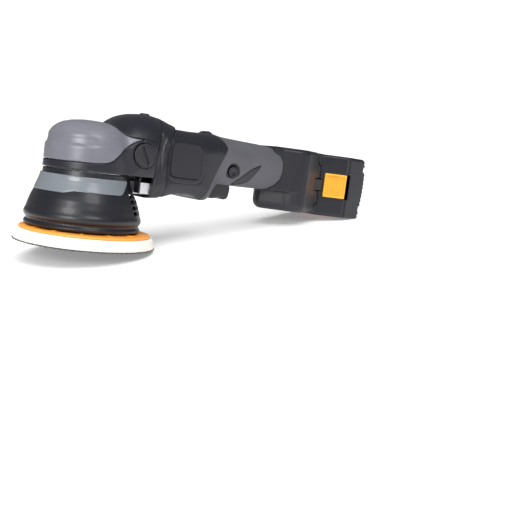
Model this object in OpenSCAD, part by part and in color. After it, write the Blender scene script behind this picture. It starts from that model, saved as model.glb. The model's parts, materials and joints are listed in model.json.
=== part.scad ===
// Cordless dual action polisher with a 125 mm pad and a sliding battery pack.
// +Z runs up the spindle, +X runs back to the battery, and z = 0 is the pad's working face.

/* [Pad] */
// Diameter of the backing pad
pad_d = 125; // [115:1:130]
// Thickness of the foam cushion
foam_h = 10; // [7:0.5:10]
// Orbit diameter of the pad about the spindle
orbit_d = 15; // [8:1:16]

/* [Gear head] */
// Outer radius of the gear head shells
head_r = 38.2; // [37.5:0.1:39]
// Height of the motor axis above the pad face
motor_z = 84; // [83.5:0.1:84.5]
// Wall thickness of the plastic shells
wall = 2.6; // [2:0.1:3]

/* [Gears] */
// Teeth on the motor pinion
pinion_teeth = 12; // [12:1:12]
// Teeth on the crown gear
crown_teeth = 39; // [39:1:39]

/* [Body] */
// Half width of the motor section
motor_hw = 34.5; // [33:0.1:36]
// Half width of the handle
handle_hw = 27; // [26:0.1:28]
// Half width of the battery dock
dock_hw = 38.5; // [37:0.1:40]
// Rear end of the dock's rail face
dock_end = 266; // [266:1:266]

/* [Battery] */
// Half width of the battery pack
pack_hw = 43.5; // [43:0.1:45]
// Rear face of the battery pack
pack_end = 331; // [330:0.5:333]
// Diameter of one battery cell
cell_d = 18.2; // [18:0.1:18.3]

/* [Hidden] */
$fn = 64;
gap = 0.15;                       // half of a visible joint line
run = 0.05;                       // radial clearance of a running fit
pad_y = -orbit_d / 2;             // the pad hangs off the spindle towards -Y at rest
plate_z = foam_h + 0.5;           // underside of the backing plate
module_mm = 4 / 3;                // tooth module of the pinion
pinion_r = pinion_teeth * module_mm / 2;
mesh_x = 26;                      // radius at which pinion and crown gear meet
mesh_z = motor_z - pinion_r;      // pitch plane of the crown gear
hole_r = 6.8;                     // centre hole through foam and hook layer
plug_x = 36.5;                    // side plugs, one on each side of the neck
lock_x = 53;                      // shaft lock button on the hood
dial_x = 126;                     // speed dial on top of the motor cover
button_x = 147;                   // lock-on button
button_z = 79.6;
pack_z0 = 42.5;                   // battery pack, bottom and top
pack_z1 = 112.5;
pack_mid = (pack_z0 + pack_z1) / 2;
pack_front = 275;                 // pack face towards the dock
pack_seam = 303;                  // joint between the two pack cases
slant = [[275, -25], [300, -43.5]]; // latch face, seen from above
latch_dir = [25, -18.5] / norm([25, -18.5]);
rail_z = [51.5, 103.5];           // head of the pack's rail boss
neck_z = [55, 100];               // neck of the pack's rail boss
cell_row = [pack_end - 2.4 - cell_d / 2 - 0.2, 16.1]; // last row of cells, pitch between rows
black = [0.16, 0.16, 0.19];
grey = [0.42, 0.42, 0.46];
steel = [0.72, 0.73, 0.75];
amber = [0.97, 0.68, 0.2];

// ---- helpers -------------------------------------------------------------------------------
function arc(x, y, r, a0, a1, n = 5) =
    [for (i = [0:n]) let (a = a0 + (a1 - a0) * i / n) [x + r * cos(a), y + r * sin(a)]];
function rrect(x0, y0, x1, y1, r, n = 5) = concat(
    arc(x1 - r, y1 - r, r, 0, 90, n), arc(x0 + r, y1 - r, r, 90, 180, n),
    arc(x0 + r, y0 + r, r, 180, 270, n), arc(x1 - r, y0 + r, r, 270, 360, n));
module along_x(x0, x1) { translate([x0, 0, 0]) rotate([90, 0, 90]) linear_extrude(x1 - x0) children(); }
module along_y(y0, y1) { translate([0, y1, 0]) rotate([90, 0, 0]) linear_extrude(y1 - y0) children(); }
module along_z(z0, z1) { translate([0, 0, z0]) linear_extrude(z1 - z0) children(); }
module box(a, b) { translate(a) cube(b - a); }
module rod(r, z0, z1) { translate([0, 0, z0]) cylinder(r = r, h = z1 - z0); }
module ring(r0, r1, z0, z1) { difference() { rod(r1, z0, z1); rod(r0, z0 - 1, z1 + 1); } }
module rod_x(r, x0, x1) { translate([x0, 0, motor_z]) rotate([0, 90, 0]) cylinder(r = r, h = x1 - x0); }
module ring_x(r0, r1, x0, x1) { difference() { rod_x(r1, x0, x1); rod_x(r0, x0 - 1, x1 + 1); } }
module rod_y(x, z, r, y0, y1) { translate([x, y0, z]) rotate([-90, 0, 0]) cylinder(r = r, h = y1 - y0); }
module left_side() { box([-80, -80, 0], [400, 0, 150]); }
module right_side() { box([-80, 0, 0], [400, 80, 150]); }
module both_sides() { for (m = [0, 1]) mirror([0, m, 0]) children(); }

// ---- pad ------------------------------------------------------------------------------------
module at_pad() { translate([0, pad_y, 0]) children(); }

module hook_face() {
    color([0.2, 0.2, 0.22]) at_pad() ring(hole_r, pad_d / 2, 0, 1);
}

module foam_pad() {
    edge = pad_d / 2;
    color([0.95, 0.94, 0.9]) at_pad() rotate_extrude()
        polygon([[hole_r, 1], [edge - 0.1, 1], [edge - 0.3, 4], [edge - 1.2, 7.5],
            [edge - 3, foam_h + 0.5], [hole_r, foam_h + 0.5]]);
}

module backing_plate() {
    edge = pad_d / 2 - 3.2;
    color([0.97, 0.6, 0.25]) at_pad() difference() {
        rotate_extrude() polygon(concat([[0, plate_z], [edge, plate_z]],
            arc(edge - 1.6, plate_z + 0.9, 1.6, 0, 90), [[15, plate_z + 2.5], [15, plate_z + 5], [0, plate_z + 5]]));
        rod(4.1, plate_z - 1, plate_z + 4);
        rod(9, plate_z + 3, plate_z + 6);
    }
}

module pad_spindle() {
    color(steel) at_pad() difference() {
        union() { rod(8.9, plate_z + 3, plate_z + 6); rod(8, plate_z + 6, 35); }
        rod(4.05, plate_z + 2, 31);
    }
}

module pad_screw() {
    color([0.25, 0.25, 0.27]) at_pad() difference() {
        union() { rod(6.3, plate_z - 3, plate_z); rod(4, plate_z, 30); }
        translate([0, 0, plate_z - 4]) cylinder(d = 6, h = 3, $fn = 6);
    }
}

// ---- eccentric ------------------------------------------------------------------------------
module counterweight() {
    color([0.62, 0.63, 0.65]) difference() {
        union() {
            at_pad() rod(20, 18.6, 36);
            rod(17, 34, 46.5);
            intersection() {
                union() { ring(18, 37.5, 22, 42); box([-17, 8, 22], [17, 24, 42]); }
                along_z(0, 60) polygon([[0, 0], [60, 28], [60, 60], [-60, 60], [-60, 28]]);
            }
        }
        at_pad() rod(16.02, 18, 36.4);
        rod(8.01, 41, 50);
        rod(3.2, 36, 42);
        rod(5.8, 36, 39.3);
    }
}

module pad_bearings() {
    color(steel) at_pad() for (z = [18.8, 27.6]) ring(8 + run, 16, z, z + 8.4);
}

module spindle() {
    color(steel) difference() {
        union() { rod(8, 41, 92.6); rod(10, 48, 62); }
        rod(3, 40, 58);
    }
}

module spindle_screw() {
    color([0.25, 0.25, 0.27]) difference() {
        union() { rod(2.95, 40.8, 56); rod(3.1, 36.6, 41); rod(5.5, 36.4, 39); }
        translate([0, 0, 36]) cylinder(d = 5, h = 2, $fn = 6);
    }
}

module crown_gear() {
    color([0.55, 0.56, 0.58]) {
        difference() { rod(30.5, 66, mesh_z - 1); rod(8.01, 65, 80); }
        for (i = [0:crown_teeth - 1]) rotate([0, 0, (i + 0.5) * 360 / crown_teeth])
            translate([mesh_x - 4, 0, mesh_z - 1.2]) rotate([90, 0, 90])
                linear_extrude(8) polygon([[-0.85, 0], [0.85, 0], [0.35, 2.1], [-0.35, 2.1]]);
    }
}

// ---- gear head ------------------------------------------------------------------------------
module gear_case() {
    color([0.75, 0.76, 0.78]) difference() {
        union() {
            rod(34.6, 58, 92);
            rod(31.5, 91, 98.6);
            rod(27, 49, 59);
            rod_x(26, 20, 58);
            box([20, -20, 49], [48.2, 20, 60]);
            box([37.6, -30.5, 50], [48.2, 30.5, 60]);
            both_sides() rod_y(plug_x, motor_z, 9, 15, 33);
        }
        rod(31.8, 63, 89);
        rod(28.5, 88, 94);
        rod(20.02, 49.9, 60);
        rod(12, 40, 64);
        difference() { rod_x(22, 8, 48); box([-20, -30, 94], [14, 30, 112]); }
        rod_x(14.02, 40, 50);
        rod_x(8.5, 49, 60);
        both_sides() rod_y(plug_x, motor_z, 4, 22, 40);
        translate([lock_x, 0, 0]) { rod(3.6, 103, 120); rod(1.7, 88, 104); }
        for (y = [-19, 19], z = [70, 98]) translate([0, y, z - motor_z]) rod_x(2.05, 43, 60);
        box([28, -40, 40], [60, 40, 48.9]);
    }
    color([0.75, 0.76, 0.78]) difference() {
        rod(17, 84, 94.5);
        rod(13.02, 83, 93);
    }
}

module spindle_bearings() {
    color(steel) { ring(10.02, 20, 50, 60); ring(8.02, 13, 85, 93); }
}

module bearing_retainer() {
    color(steel) ring(17.5, 26, 47.4, 49);
}

module head_dome(i = 0, z0 = 65) {
    rotate_extrude() polygon(concat([[0, z0], [head_r - i, z0], [head_r - i, 80], [head_r - 0.6 - i, 86]],
        arc(head_r - 19.5, 90, 18.9 - i, 10, 75, 7), [[9, 109.6 - i], [0, 109.8 - i]]));
}

module neck_block(i = 0, z0 = 65) {
    intersection() {
        along_x(2, 84) polygon(rrect(-37 + i, 44, 37 - i, 122.8 - i, 30 - i, 8));
        along_y(-40, 40) polygon([[0, z0], [60, z0], [88, z0], [88, 113.8 - i], [71, 118.7 - i],
            [59, 121.8 - i], [52, 122.8 - i], [37, 121.4 - i], [25, 117.6 - i], [13, 109.4 - i], [0, 104]]);
    }
}

cover_line = [[-60, 74.2], [-4, 74.2], [3, 76.4], [9, 81], [16, 88.4], [23, 94.6], [32, 98.8],
    [24, 100.4], [19, 104], [14, 109.4], [10, 120], [-60, 120]];
collar_line = [[45, 44], [45, 50.6], [48.6, 51], [48.6, 72], [49.6, 92], [56, 110], [62, 128], [90, 128], [83, 114],
    [72, 110], [64, 101], [60.5, 74], [61.5, 46]];

module front_of_collar() {
    along_y(-60, 60) polygon(concat([[-60, 0], [48.3, 0]],
        [for (i = [2:6]) collar_line[i] - [2 * gap, 0]], [[-60, 128]]));
}

module cover_region() {
    along_y(-60, 60) polygon(cover_line);
}

module cover_clearance() {
    for (side = [-1:1]) translate([2 * gap, 0, side * 2 * gap]) cover_region();
}

module head_cover() {
    color(grey) difference() {
        intersection() {
            union() { head_dome(); neck_block(0); }
            cover_region();
        }
        head_dome(wall, 60);
        neck_block(wall, 60);
        rod_x(26.2, 20, 60);
    }
}

module head_shell() {
    color(black) difference() {
        intersection() {
            union() { head_dome(); neck_block(); }
            box([-60, -60, 60], [90, 60, 99]);
            front_of_collar();
        }
        cover_clearance();
        head_dome(wall, 60);
        neck_block(wall, 60);
        rod_x(26.2, 20, 60);
        rod_y(plug_x, motor_z + 0.5, 11.2, -50, 50);
    }
}

module neck_hood() {
    color(black) difference() {
        intersection() {
            neck_block();
            box([-60, -60, 99 + gap], [90, 60, 130]);
            front_of_collar();
        }
        cover_clearance();
        neck_block(wall, 60);
        rod_x(26.2, 20, 60);
        head_dome(0.3, 60);
        translate([lock_x, 0, 0]) rod(4.9, 100, 130);
    }
}

module collar() {
    color([0.11, 0.11, 0.13]) difference() {
        intersection() {
            along_x(40, 92) polygon(rrect(-36.4, 45.6, 36.4, 122.6, 28, 8));
            along_y(-60, 60) polygon(collar_line);
            along_y(-60, 60) polygon([[40, 0], [92, 0], [92, 113], [84, 115], [71, 118.4],
                [60, 121.4], [40, 123]]);
        }
        along_x(40, 96) polygon(rrect(-32, 51, 32, 112.6, 22, 8));
        box([40, -31, 46], [48.5, 31, 62]);
        translate([lock_x, 0, 0]) rod(4.9, 100, 130);
    }
}

module shroud() {
    color([0.13, 0.13, 0.15]) difference() {
        rotate_extrude() polygon([[48.4, 14], [51.4, 14.2], [51.8, 16], [50, 18.2], [50, 20],
            [51.9, 22.2], [51.9, 25], [50.6, 27.4], [48.9, 31], [47.1, 36.5], [45.3, 42], [42.6, 48],
            [40.4, 53.5], [39.2, 58], [38.6, 61], [38.4, 64.6], [34.9, 64.6], [34.9, 59],
            [36.4, 55], [39, 49], [42, 41], [44, 35], [47, 27]]);
        for (a = [-62:14:36]) rotate([0, 0, a]) for (z = [33.2, 39.6])
            translate([52, 0, z]) cube([30, 8.6, 3], center = true);
        box([20, -20.6, 48.4], [60, 20.6, 66]);
    }
}

module shroud_band() {
    color([0.55, 0.57, 0.6]) intersection() {
        rotate_extrude() polygon([[39.5, 60.5], [39.3, 58.2], [40.6, 53.6], [42.8, 48.2], [44.3, 44.4],
            [45.3, 44.4], [43.8, 48.4], [41.6, 53.8], [40.2, 58.4], [40.2, 60.5]]);
        union() {
            rotate([0, 0, 120]) box([0, 0, 40], [60, 60, 66]);
            rotate([0, 0, 180]) box([0, 0, 40], [60, 60, 66]);
            rotate([0, 0, 232]) box([0, 0, 40], [60, 60, 66]);
        }
    }
}

module side_plugs() {
    color(black) both_sides() difference() {
        rod_y(plug_x, motor_z + 0.5, 11, 33.4, 37.6);
        translate([plug_x, 38, motor_z + 0.5]) rotate([0, -26, 0]) cube([2, 3, 18], center = true);
    }
}

module head_screws() {
    color([0.3, 0.3, 0.32]) for (y = [-19, 19], z = [70, 98])
        translate([58, y, z]) rotate([0, 90, 0]) difference() {
            union() { cylinder(r = 4, h = 3.6); translate([0, 0, -14]) cylinder(r = 2, h = 15); }
            translate([0, 0, 1.6]) cylinder(r = 1.8, h = 3, $fn = 6);
        }
}

// ---- motor ----------------------------------------------------------------------------------
handle_line = [[137, 103], [129.6, 90.2], [119.8, 71.4], [111.4, 52], [109.4, 40]];

module motor_form(i = 0) {
    intersection() {
        along_x(61, 140) polygon(rrect(-motor_hw + i, 50.6 + i, motor_hw - i, 116 - i, 25 - i, 8));
        along_y(-60, 60) polygon([[62, 40], [60.5, 74], [64, 101], [72, 110], [84, 114.4 - i],
            [95, 114.6 - i], [119, 115.8 - i], [129, 116 - i], [140, 110], [140, 40]]);
    }
}

module front_of_line(g) {
    along_y(-60, 60) polygon(concat([[50, 40], [50, 130], [127 - g, 130], [128 - g, 112]],
        [for (p = handle_line) p - [g, 0]]));
}

module behind_line(g) {
    along_y(-60, 60) polygon(concat([[400, 130], [127 + g, 130], [128 + g, 112]],
        [for (p = handle_line) p + [g, 0]], [[400, 40]]));
}

module motor_cover() {
    difference() {
        intersection() {
            union() { motor_form(); handle_flare(); }
            front_of_line(gap);
        }
        along_y(-60, 60) polygon([for (p = collar_line) p + [0.3, 0]]);
        motor_form(wall);
        along_x(55, 76) polygon(rrect(-31.4, 53, 31.4, 112, 22, 8));
        handle_flare(wall);
        both_sides() along_y(motor_hw - 0.9, 60) polygon(rrect(66, 68, 101, 101, 7));
        translate([dial_x, 0, 0]) box([-9.4, -4.6, 99], [9.4, 4.6, 125]);
        housing_screw_holes();
    }
}

module motor_cover_left() {
    color(black) intersection() { motor_cover(); left_side(); }
}

module motor_cover_right() {
    color(black) intersection() { motor_cover(); right_side(); }
}

module badge_plates() {
    color([0.1, 0.1, 0.12]) both_sides() along_y(motor_hw - 0.85, motor_hw - 0.2)
        polygon(rrect(66.4, 68.4, 100.6, 100.6, 6.6));
}

module stator_core() {
    color(steel) difference() {
        ring_x(14.5, 26, 76, 104);
        for (a = [0:30:330]) translate([0, 0, motor_z]) rotate([a, 0, 0])
            box([70, -1, 13], [110, 1, 16.5]);
    }
}

module windings() {
    color([0.72, 0.4, 0.2]) { ring_x(15.5, 23.5, 70.8, 75.9); ring_x(15.5, 23.5, 104.1, 109.5); }
}

module rotor() {
    color([0.3, 0.3, 0.33]) ring_x(4.01, 13.8, 74, 106);
}

module motor_shaft() {
    color(steel) rod_x(4, 20.5, 116.4);
}

module pinion() {
    color([0.6, 0.6, 0.62]) difference() {
        union() {
            rod_x(pinion_r - 1.2, 21.5, 31);
            for (i = [0:pinion_teeth - 1]) translate([21.8, 0, motor_z]) rotate([i * 360 / pinion_teeth, 0, 0])
                translate([0, 0, -pinion_r - 0.9]) rotate([90, 0, 90]) linear_extrude(8.4)
                    polygon([[-0.3, 0], [0.3, 0], [0.8, 2.4], [-0.8, 2.4]]);
        }
        rod_x(4.01, 20, 40);
    }
}

module lock_wheel() {
    color(steel) difference() {
        rod_x(7.5, lock_x - 2.4, lock_x + 2.4);
        rod_x(4.01, 50, 60);
        for (a = [0:45:315]) translate([lock_x, 0, motor_z]) rotate([a, 0, 0])
            translate([0, 0, 5]) cylinder(r = 1.6, h = 6);
    }
}

module cooling_fan() {
    color([0.2, 0.2, 0.22]) {
        difference() { union() { rod_x(8, 62, 70); rod_x(23, 68.6, 70); } rod_x(4.01, 50, 80); }
        for (a = [0:24:336]) translate([0, 0, motor_z]) rotate([a, 0, 0])
            box([62.2, -0.8, 7.5], [68.7, 0.8, 22.5]);
    }
}

module motor_bearings() {
    color(steel) { ring_x(4.02, 14, 41, 49); ring_x(4.02, 11, 110.8, 116.2); }
}

module motor_plate() {
    color([0.2, 0.2, 0.22]) difference() {
        intersection() { rod_x(30, 110.5, 116.6); motor_form(wall + 0.2); front_of_line(3); }
        rod_x(11.02, 109, 117.2);
    }
}

// ---- controls -------------------------------------------------------------------------------
module shaft_lock_button() {
    color([0.1, 0.1, 0.12]) translate([lock_x, 0, 0]) {
        rotate_extrude() polygon(concat([[0, 117], [4.6, 117], [4.6, 123]], arc(3.4, 123, 1.2, 0, 90),
            [[0, 124.2]]));
        rod(1.5, 93.2, 117.5);
        rod(3.2, 112, 114);
    }
}

module shaft_lock_spring() {
    color(steel) translate([lock_x, 0, 0]) ring(1.9, 3, 103, 111.9);
}

module speed_dial() {
    color([0.1, 0.1, 0.12]) difference() {
        rod_y(dial_x, 108.5, 9, -4, 4);
        rod_y(dial_x, 108.5, 1.6, -9, 9);
        for (a = [0:20:340]) translate([dial_x, 0, 108.5]) rotate([0, a, 0])
            box([8.6, -5, -0.4], [10, 5, 0.4]);
    }
}

module trigger_outline(i = 0) {
    polygon([[123.6 + i, 62], [119.6 + i, 54.6], [122 + i, 51 + i], [133, 50 + i], [137, 49.6 + i],
        [146, 51 + i], [152, 49.8 + i], [156, 51.4 + i], [157.6 - i, 56], [158.4 - i, 61.5],
        [156, 68], [126, 68]]);
}

module trigger() {
    color([0.13, 0.13, 0.15]) difference() {
        intersection() {
            along_y(-11, 11) trigger_outline();
            along_x(100, 170) polygon(rrect(-11, 49, 11, 70, 4));
        }
        translate([0, 0, 2.4]) along_y(-8.8, 8.8) trigger_outline(2.4);
        rod_y(126.5, 63.5, 1.55, -20, 20);
    }
}

module trigger_spring() {
    color(steel) translate([148, 0, 0]) ring(2, 3, 56.4, 71.8);
}

module lock_on_button() {
    color([0.13, 0.13, 0.15]) difference() {
        union() {
            rod_y(button_x, button_z, 5.8, -handle_hw + 0.2, -handle_hw + 5.5);
            rod_y(button_x, button_z, 2.5, -handle_hw + 5, -13.5);
        }
        rod_y(button_x, button_z, 3.6, -handle_hw - 1, -handle_hw + 1);
    }
}

module switch_unit() {
    color([0.25, 0.25, 0.28]) {
        box([128, -10, 72], [164, 10, 98]);
        translate([132, 0, 98]) rod(4, 0, 1.2);
    }
}

module control_board() {
    color([0.1, 0.35, 0.2]) box([170, -19, 74], [236, 19, 75.6]);
    color([0.15, 0.15, 0.17]) {
        for (x = [178:9:214], y = [-12, 12]) box([x, y - 3.5, 75.6], [x + 6, y + 3.5, 79]);
        translate([226, 0, 75.6]) cylinder(r = 6, h = 18);
        box([176, -5, 75.6], [206, 5, 84]);
    }
}

// ---- handle ---------------------------------------------------------------------------------
module handle_flare(i = 0) {
    intersection() {
        along_x(104, 152) polygon(rrect(-30 + i, 50.4 + i, 30 - i, 114.6 - i, 22 - i, 8));
        along_y(-60, 60) polygon([[104, 40], [112 - i, 49 + i], [119 - i, 51.5 + i], [124 - i, 63 + i],
            [150, 65 + i], [150, 114 - i], [104, 116 - i]]);
    }
}

module handle_form(i = 0) {
    handle_flare(i);
    intersection() {
        along_x(140, 214 - i) polygon(rrect(-handle_hw + i, 64.4 + i, handle_hw - i, 113 - i, 20 - i, 8));
        along_y(-60, 60) polygon(concat([[136, 130], [136, 64.4 + i]],
            arc(192, 86.4, 22 - i, 270, 360), arc(206, 103, 8, 0, 30), [[212, 111.6 - i], [186, 112.4 - i],
            [150, 113.6 - i], [140, 130]]));
    }
}

module handle_half() {
    difference() {
        intersection() { handle_form(); behind_line(gap); }
        handle_form(wall);
        along_x(190, 230) polygon(rrect(-22, 68, 22, 108, 14));
        along_y(-12.2, 12.2) polygon([[118.4, 40], [160, 40], [160, 73], [118.4, 73]]);
        rod_y(button_x, button_z, 6.1, -60, -10);
        rod_y(button_x, button_z, 8.6, -60, -handle_hw + 1.2);
        handle_inlay_cut();
        dock_form(-0.1);
        housing_screw_holes();
        translate([dial_x, 0, 0]) box([-9.4, -4.6, 99], [9.4, 4.6, 125]);
    }
    difference() {
        intersection() { box([120, -24, 62.4], [132, 24, 65.4]); handle_form(0.5); behind_line(1); }
        box([100, -11.4, 50], [140, 11.4, 70]);
    }
    rod_y(126.5, 63.5, 1.5, -12, 12);
}

module handle_inlay_cut() {
    both_sides() along_y(handle_hw - 1.2, 60) polygon(inlay_outline(0.1));
}

function inlay_outline(g) = [[149.8 - g, 67.4 - g], [163.2, 68.7 - g], [171.8 + g, 74.5],
    [183 + g, 89.8 + g], [170, 84.2 + g], [158, 74.8 + g]];

module handle_inlays() {
    color(black) both_sides() intersection() {
        along_y(handle_hw - 1.1, handle_hw) polygon(inlay_outline(-0.1));
        along_x(140, 200) polygon(rrect(-handle_hw, 64.4, handle_hw, 113, 20, 8));
    }
}

module handle_left() {
    color(grey) intersection() { handle_half(); left_side(); }
}

module handle_right() {
    color(grey) intersection() { handle_half(); right_side(); }
}

screw_spots = [[74, 57], [106.2, 110.2], [108.2, 56.5], [160, 104], [168, 71.5], [204, 106], [222, 52], [258, 104], [256, 52]];

module housing_screw_holes() {
    for (p = screw_spots) rod_y(p[0], p[1], 3.1, 16, 60);
}

module housing_screws() {
    color([0.3, 0.3, 0.32]) for (p = screw_spots) difference() {
        union() { rod_y(p[0], p[1], 2.9, 17.5, 19.5); rod_y(p[0], p[1], 1.4, 3, 18); }
        rod_y(p[0], p[1], 1.3, 18.4, 20);
    }
}

// ---- dock -----------------------------------------------------------------------------------
module dock_form(i = 0) {
    intersection() {
        union() {
            along_z(44 + i, 66) polygon([[dock_end, -30 + i], [dock_end, dock_hw - i], [238, dock_hw - i],
                [228, 34 - i], [204 + i, 6], [204 + i, -6], [228, -34 + i], [236, -dock_hw + i],
                [242, -dock_hw + i]]);
            along_z(60, 113 - i) polygon([[dock_end, -30 + i], [dock_end, dock_hw - i], [232, dock_hw - i],
                [222, 34 - i], [214 + i, 27 - i], [208 + i, 24 - i], [208 + i, -24 + i], [214 + i, -27 + i],
                [222, -34 + i], [232, -dock_hw + i], [242, -dock_hw + i]]);
        }
        along_x(180, dock_end) polygon(rrect(-dock_hw + i, 44 + i, dock_hw - i, 113 - i, 12 - i, 6));
    }
}

module dock_half() {
    difference() {
        dock_form();
        intersection() { dock_form(wall); box([180, -60, 0], [dock_end - 3, 60, 150]); }
        along_x(196, 240) polygon(rrect(-23.6, 68, 23.6, 107.6, 15));
        box([dock_end - 4, 4, 60], [dock_end + 1, 30, 95]);
        box([260, -60, 67], [dock_end + 1, -12, 88]);
        housing_screw_holes();
    }
    for (z = [[44.4, 51.2, 54.7], [112.6, 103.8, 100.3]]) {
        box([dock_end - 0.1, -26, min(z[0], z[1])], [274.6, 38, max(z[0], z[1])]);
        box([270.8, -26, min(z[1], z[2])], [274.6, 38, max(z[1], z[2])]);
    }
}

module dock_left() {
    color([0.15, 0.15, 0.18]) intersection() { dock_half(); left_side(); }
}

module dock_right() {
    color([0.15, 0.15, 0.18]) intersection() { dock_half(); right_side(); }
}

module terminal_block() {
    color([0.1, 0.1, 0.1]) difference() {
        box([256, 4.4, 60.4], [dock_end, 29.6, 94.6]);
        for (z = [64:7:92]) box([258, 8, z - 0.5], [270, 26, z + 0.5]);
    }
}

module terminal_blades() {
    color([0.85, 0.7, 0.35]) for (z = [64:7:92]) box([258.1, 8.2, z - 0.4], [272.6, 25.8, z + 0.4]);
}

// ---- battery pack ---------------------------------------------------------------------------
module pack_form(i = 0) {
    intersection() {
        along_z(pack_z0 + i, pack_z1 - i) polygon([slant[0] + [i, 1.3 * i], slant[1] + [0.4 * i, i],
            [pack_end - i, -pack_hw + i], [pack_end - i, pack_hw - i], [pack_front + i, pack_hw - i]]);
        along_x(pack_front, pack_end - i)
            polygon(rrect(-pack_hw + i, pack_z0 + i, pack_hw - i, pack_z1 - i, 5.5 - i, 5));
    }
}

module latch_window(depth, g = 0) {
    translate([slant[0][0], slant[0][1], 0]) rotate([0, 0, atan2(latch_dir[1], latch_dir[0])])
        box([2.5 - g, -1, 64 - g], [27 + g, depth, 92 + g]);
}

// room for the pulled latch: the window swept 4.5 mm towards the rear of the pack
module latch_path() {
    translate([slant[0][0], slant[0][1], 0]) rotate([0, 0, atan2(latch_dir[1], latch_dir[0])])
        along_z(64, 92) polygon([[2.5, -1], [27, -1], [30.6, 1.7], [30.6, 14.7], [6.1, 14.7], [2.5, 12]]);
}

module pack_rail_case() {
    color([0.15, 0.15, 0.18]) difference() {
        union() {
            pack_form();
            box([dock_end + 0.4, -24, rail_z[0]], [270.4, 37, rail_z[1]]);
            box([270, -24, neck_z[0]], [pack_front + 0.5, 37, neck_z[1]]);
        }
        pack_form(2.4);
        box([pack_seam, -60, 30], [350, 60, 130]);
        for (z = [64:7:92]) {
            box([dock_end, 4, z - 1.2], [276, 40, z + 1.2]);
            box([270.5, 7.6, z - 2.3], [277, 28.4, z + 2.3]);
        }
        box([275.9, -8, 57], [280, 36, 99]);
        pack_label_pocket();
        box([dock_end, -60, 66], [pack_front + 6, -13, 89]);
        latch_path();
        rod_y(288, 66, 5.1, 30, 60);
        for (z = [82:5:97]) box([284, 40, z - 1], [292, 46, z + 1]);
    }
}

module pack_label_pocket() {
    box([292, -26, pack_z0 - 1], [pack_end - 6, 26, pack_z0 + 0.4]);
}

module pack_rear_case() {
    color([0.15, 0.15, 0.18]) difference() {
        pack_form();
        pack_form(2.4);
        box([250, -60, 30], [pack_seam + gap, 60, 130]);
        for (z = [47:5:112]) box([pack_end - 1, -60, z - 1], [340, 60, z + 1]);
        for (z = [54.5, 100.5], y = [-pack_hw, pack_hw])
            box([pack_end - 2, y - 6, z - 2.3], [340, y + 6, z + 2.3]);
        pack_label_pocket();
        pack_screw_rods(3, pack_end - 4, pack_end + 1);
    }
    color([0.15, 0.15, 0.18]) difference() {
        pack_screw_rods(4.2, 314, pack_end - 2);
        pack_screw_rods(3, pack_end - 6, pack_end + 1);
        pack_screw_rods(1.35, 312, pack_end);
    }
}

module cell(x, y) {
    translate([x, y, 0]) { rod(cell_d / 2, 45.6, 109.4); rod(3, 109, 109.9); }
}

module cells() {
    color([0.2, 0.45, 0.4]) {
        for (k = [0:2]) cell(cell_row[0] - 2 * cell_row[1], -15.7 + 18.6 * k);
        for (k = [0:3]) cell(cell_row[0] - cell_row[1], -25 + 18.6 * k);
        for (k = [0:2]) cell(cell_row[0], -15.7 + 18.6 * k);
    }
}

module pack_board() {
    color([0.1, 0.35, 0.2]) box([276.2, -7, 58], [277.8, 35, 98]);
}

module pack_contacts() {
    color([0.85, 0.7, 0.35]) for (z = [64:7:92]) difference() {
        box([270.6, 8, z - 2.2], [276.1, 28, z + 2.2]);
        box([268, 7, z - 0.6], [274.4, 40, z + 0.6]);
    }
}

module latch_button() {
    a = atan2(latch_dir[1], latch_dir[0]);
    color(amber) {
        translate([slant[0][0], slant[0][1], 0]) rotate([0, 0, a]) difference() {
            box([2.9, 0, 64.4], [26.6, 3.2, 91.6]);
            box([5, -1, 66.6], [24.4, 1.9, 89.4]);
        }
        box([262.8, -27, 71], [277, -23.2, 84]);
        box([276.9, -27, 71], [278.4, -24.6, 84]);
    }
}

module latch_spring() {
    color(steel) translate([297.6, -36, pack_mid]) rotate([0, 90, 0])
        difference() { cylinder(r = 1.5, h = 5.3); translate([0, 0, -1]) cylinder(r = 1, h = 9); }
}

module gauge_button() {
    color([0.85, 0.2, 0.22]) rod_y(288, 66, 5, 40.6, pack_hw);
}

module gauge_lenses() {
    color([0.8, 0.8, 0.82]) for (z = [82:5:97]) box([284.1, 41.4, z - 0.9], [291.9, pack_hw - 0.1, z + 0.9]);
}

module pack_label() {
    color([0.95, 0.45, 0.2]) box([292.2, -25.8, pack_z0], [pack_end - 6.2, 25.8, pack_z0 + 0.35]);
}

module pack_screw_rods(r, x0, x1) {
    for (y = [-36.3, 36.3], z = [49.6, 105.4]) translate([x0, y, z]) rotate([0, 90, 0])
        cylinder(r = r, h = x1 - x0);
}

module pack_screws() {
    color([0.3, 0.3, 0.32]) difference() {
        union() {
            pack_screw_rods(2.8, pack_end - 5.9, pack_end - 3.9);
            pack_screw_rods(1.3, 315, pack_end - 5);
        }
        pack_screw_rods(1.2, pack_end - 5, pack_end - 3);
    }
}

hook_face();
foam_pad();
backing_plate();
pad_spindle();
pad_screw();
counterweight();
pad_bearings();
spindle();
spindle_screw();
crown_gear();
gear_case();
spindle_bearings();
bearing_retainer();
head_shell();
head_cover();
neck_hood();
collar();
shroud();
shroud_band();
side_plugs();
head_screws();
motor_cover_left();
motor_cover_right();
badge_plates();
stator_core();
windings();
rotor();
motor_shaft();
pinion();
lock_wheel();
cooling_fan();
motor_bearings();
motor_plate();
shaft_lock_button();
shaft_lock_spring();
speed_dial();
handle_left();
handle_right();
handle_inlays();
trigger();
trigger_spring();
lock_on_button();
switch_unit();
control_board();
housing_screws();
dock_left();
dock_right();
terminal_block();
terminal_blades();
pack_rail_case();
pack_rear_case();
cells();
pack_board();
pack_contacts();
latch_button();
latch_spring();
gauge_button();
gauge_lenses();
pack_label();
pack_screws();
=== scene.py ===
"""Cordless dual action polisher: the looks around the packed part, laid out as an add-on."""

import json
import math
from itertools import product

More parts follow.
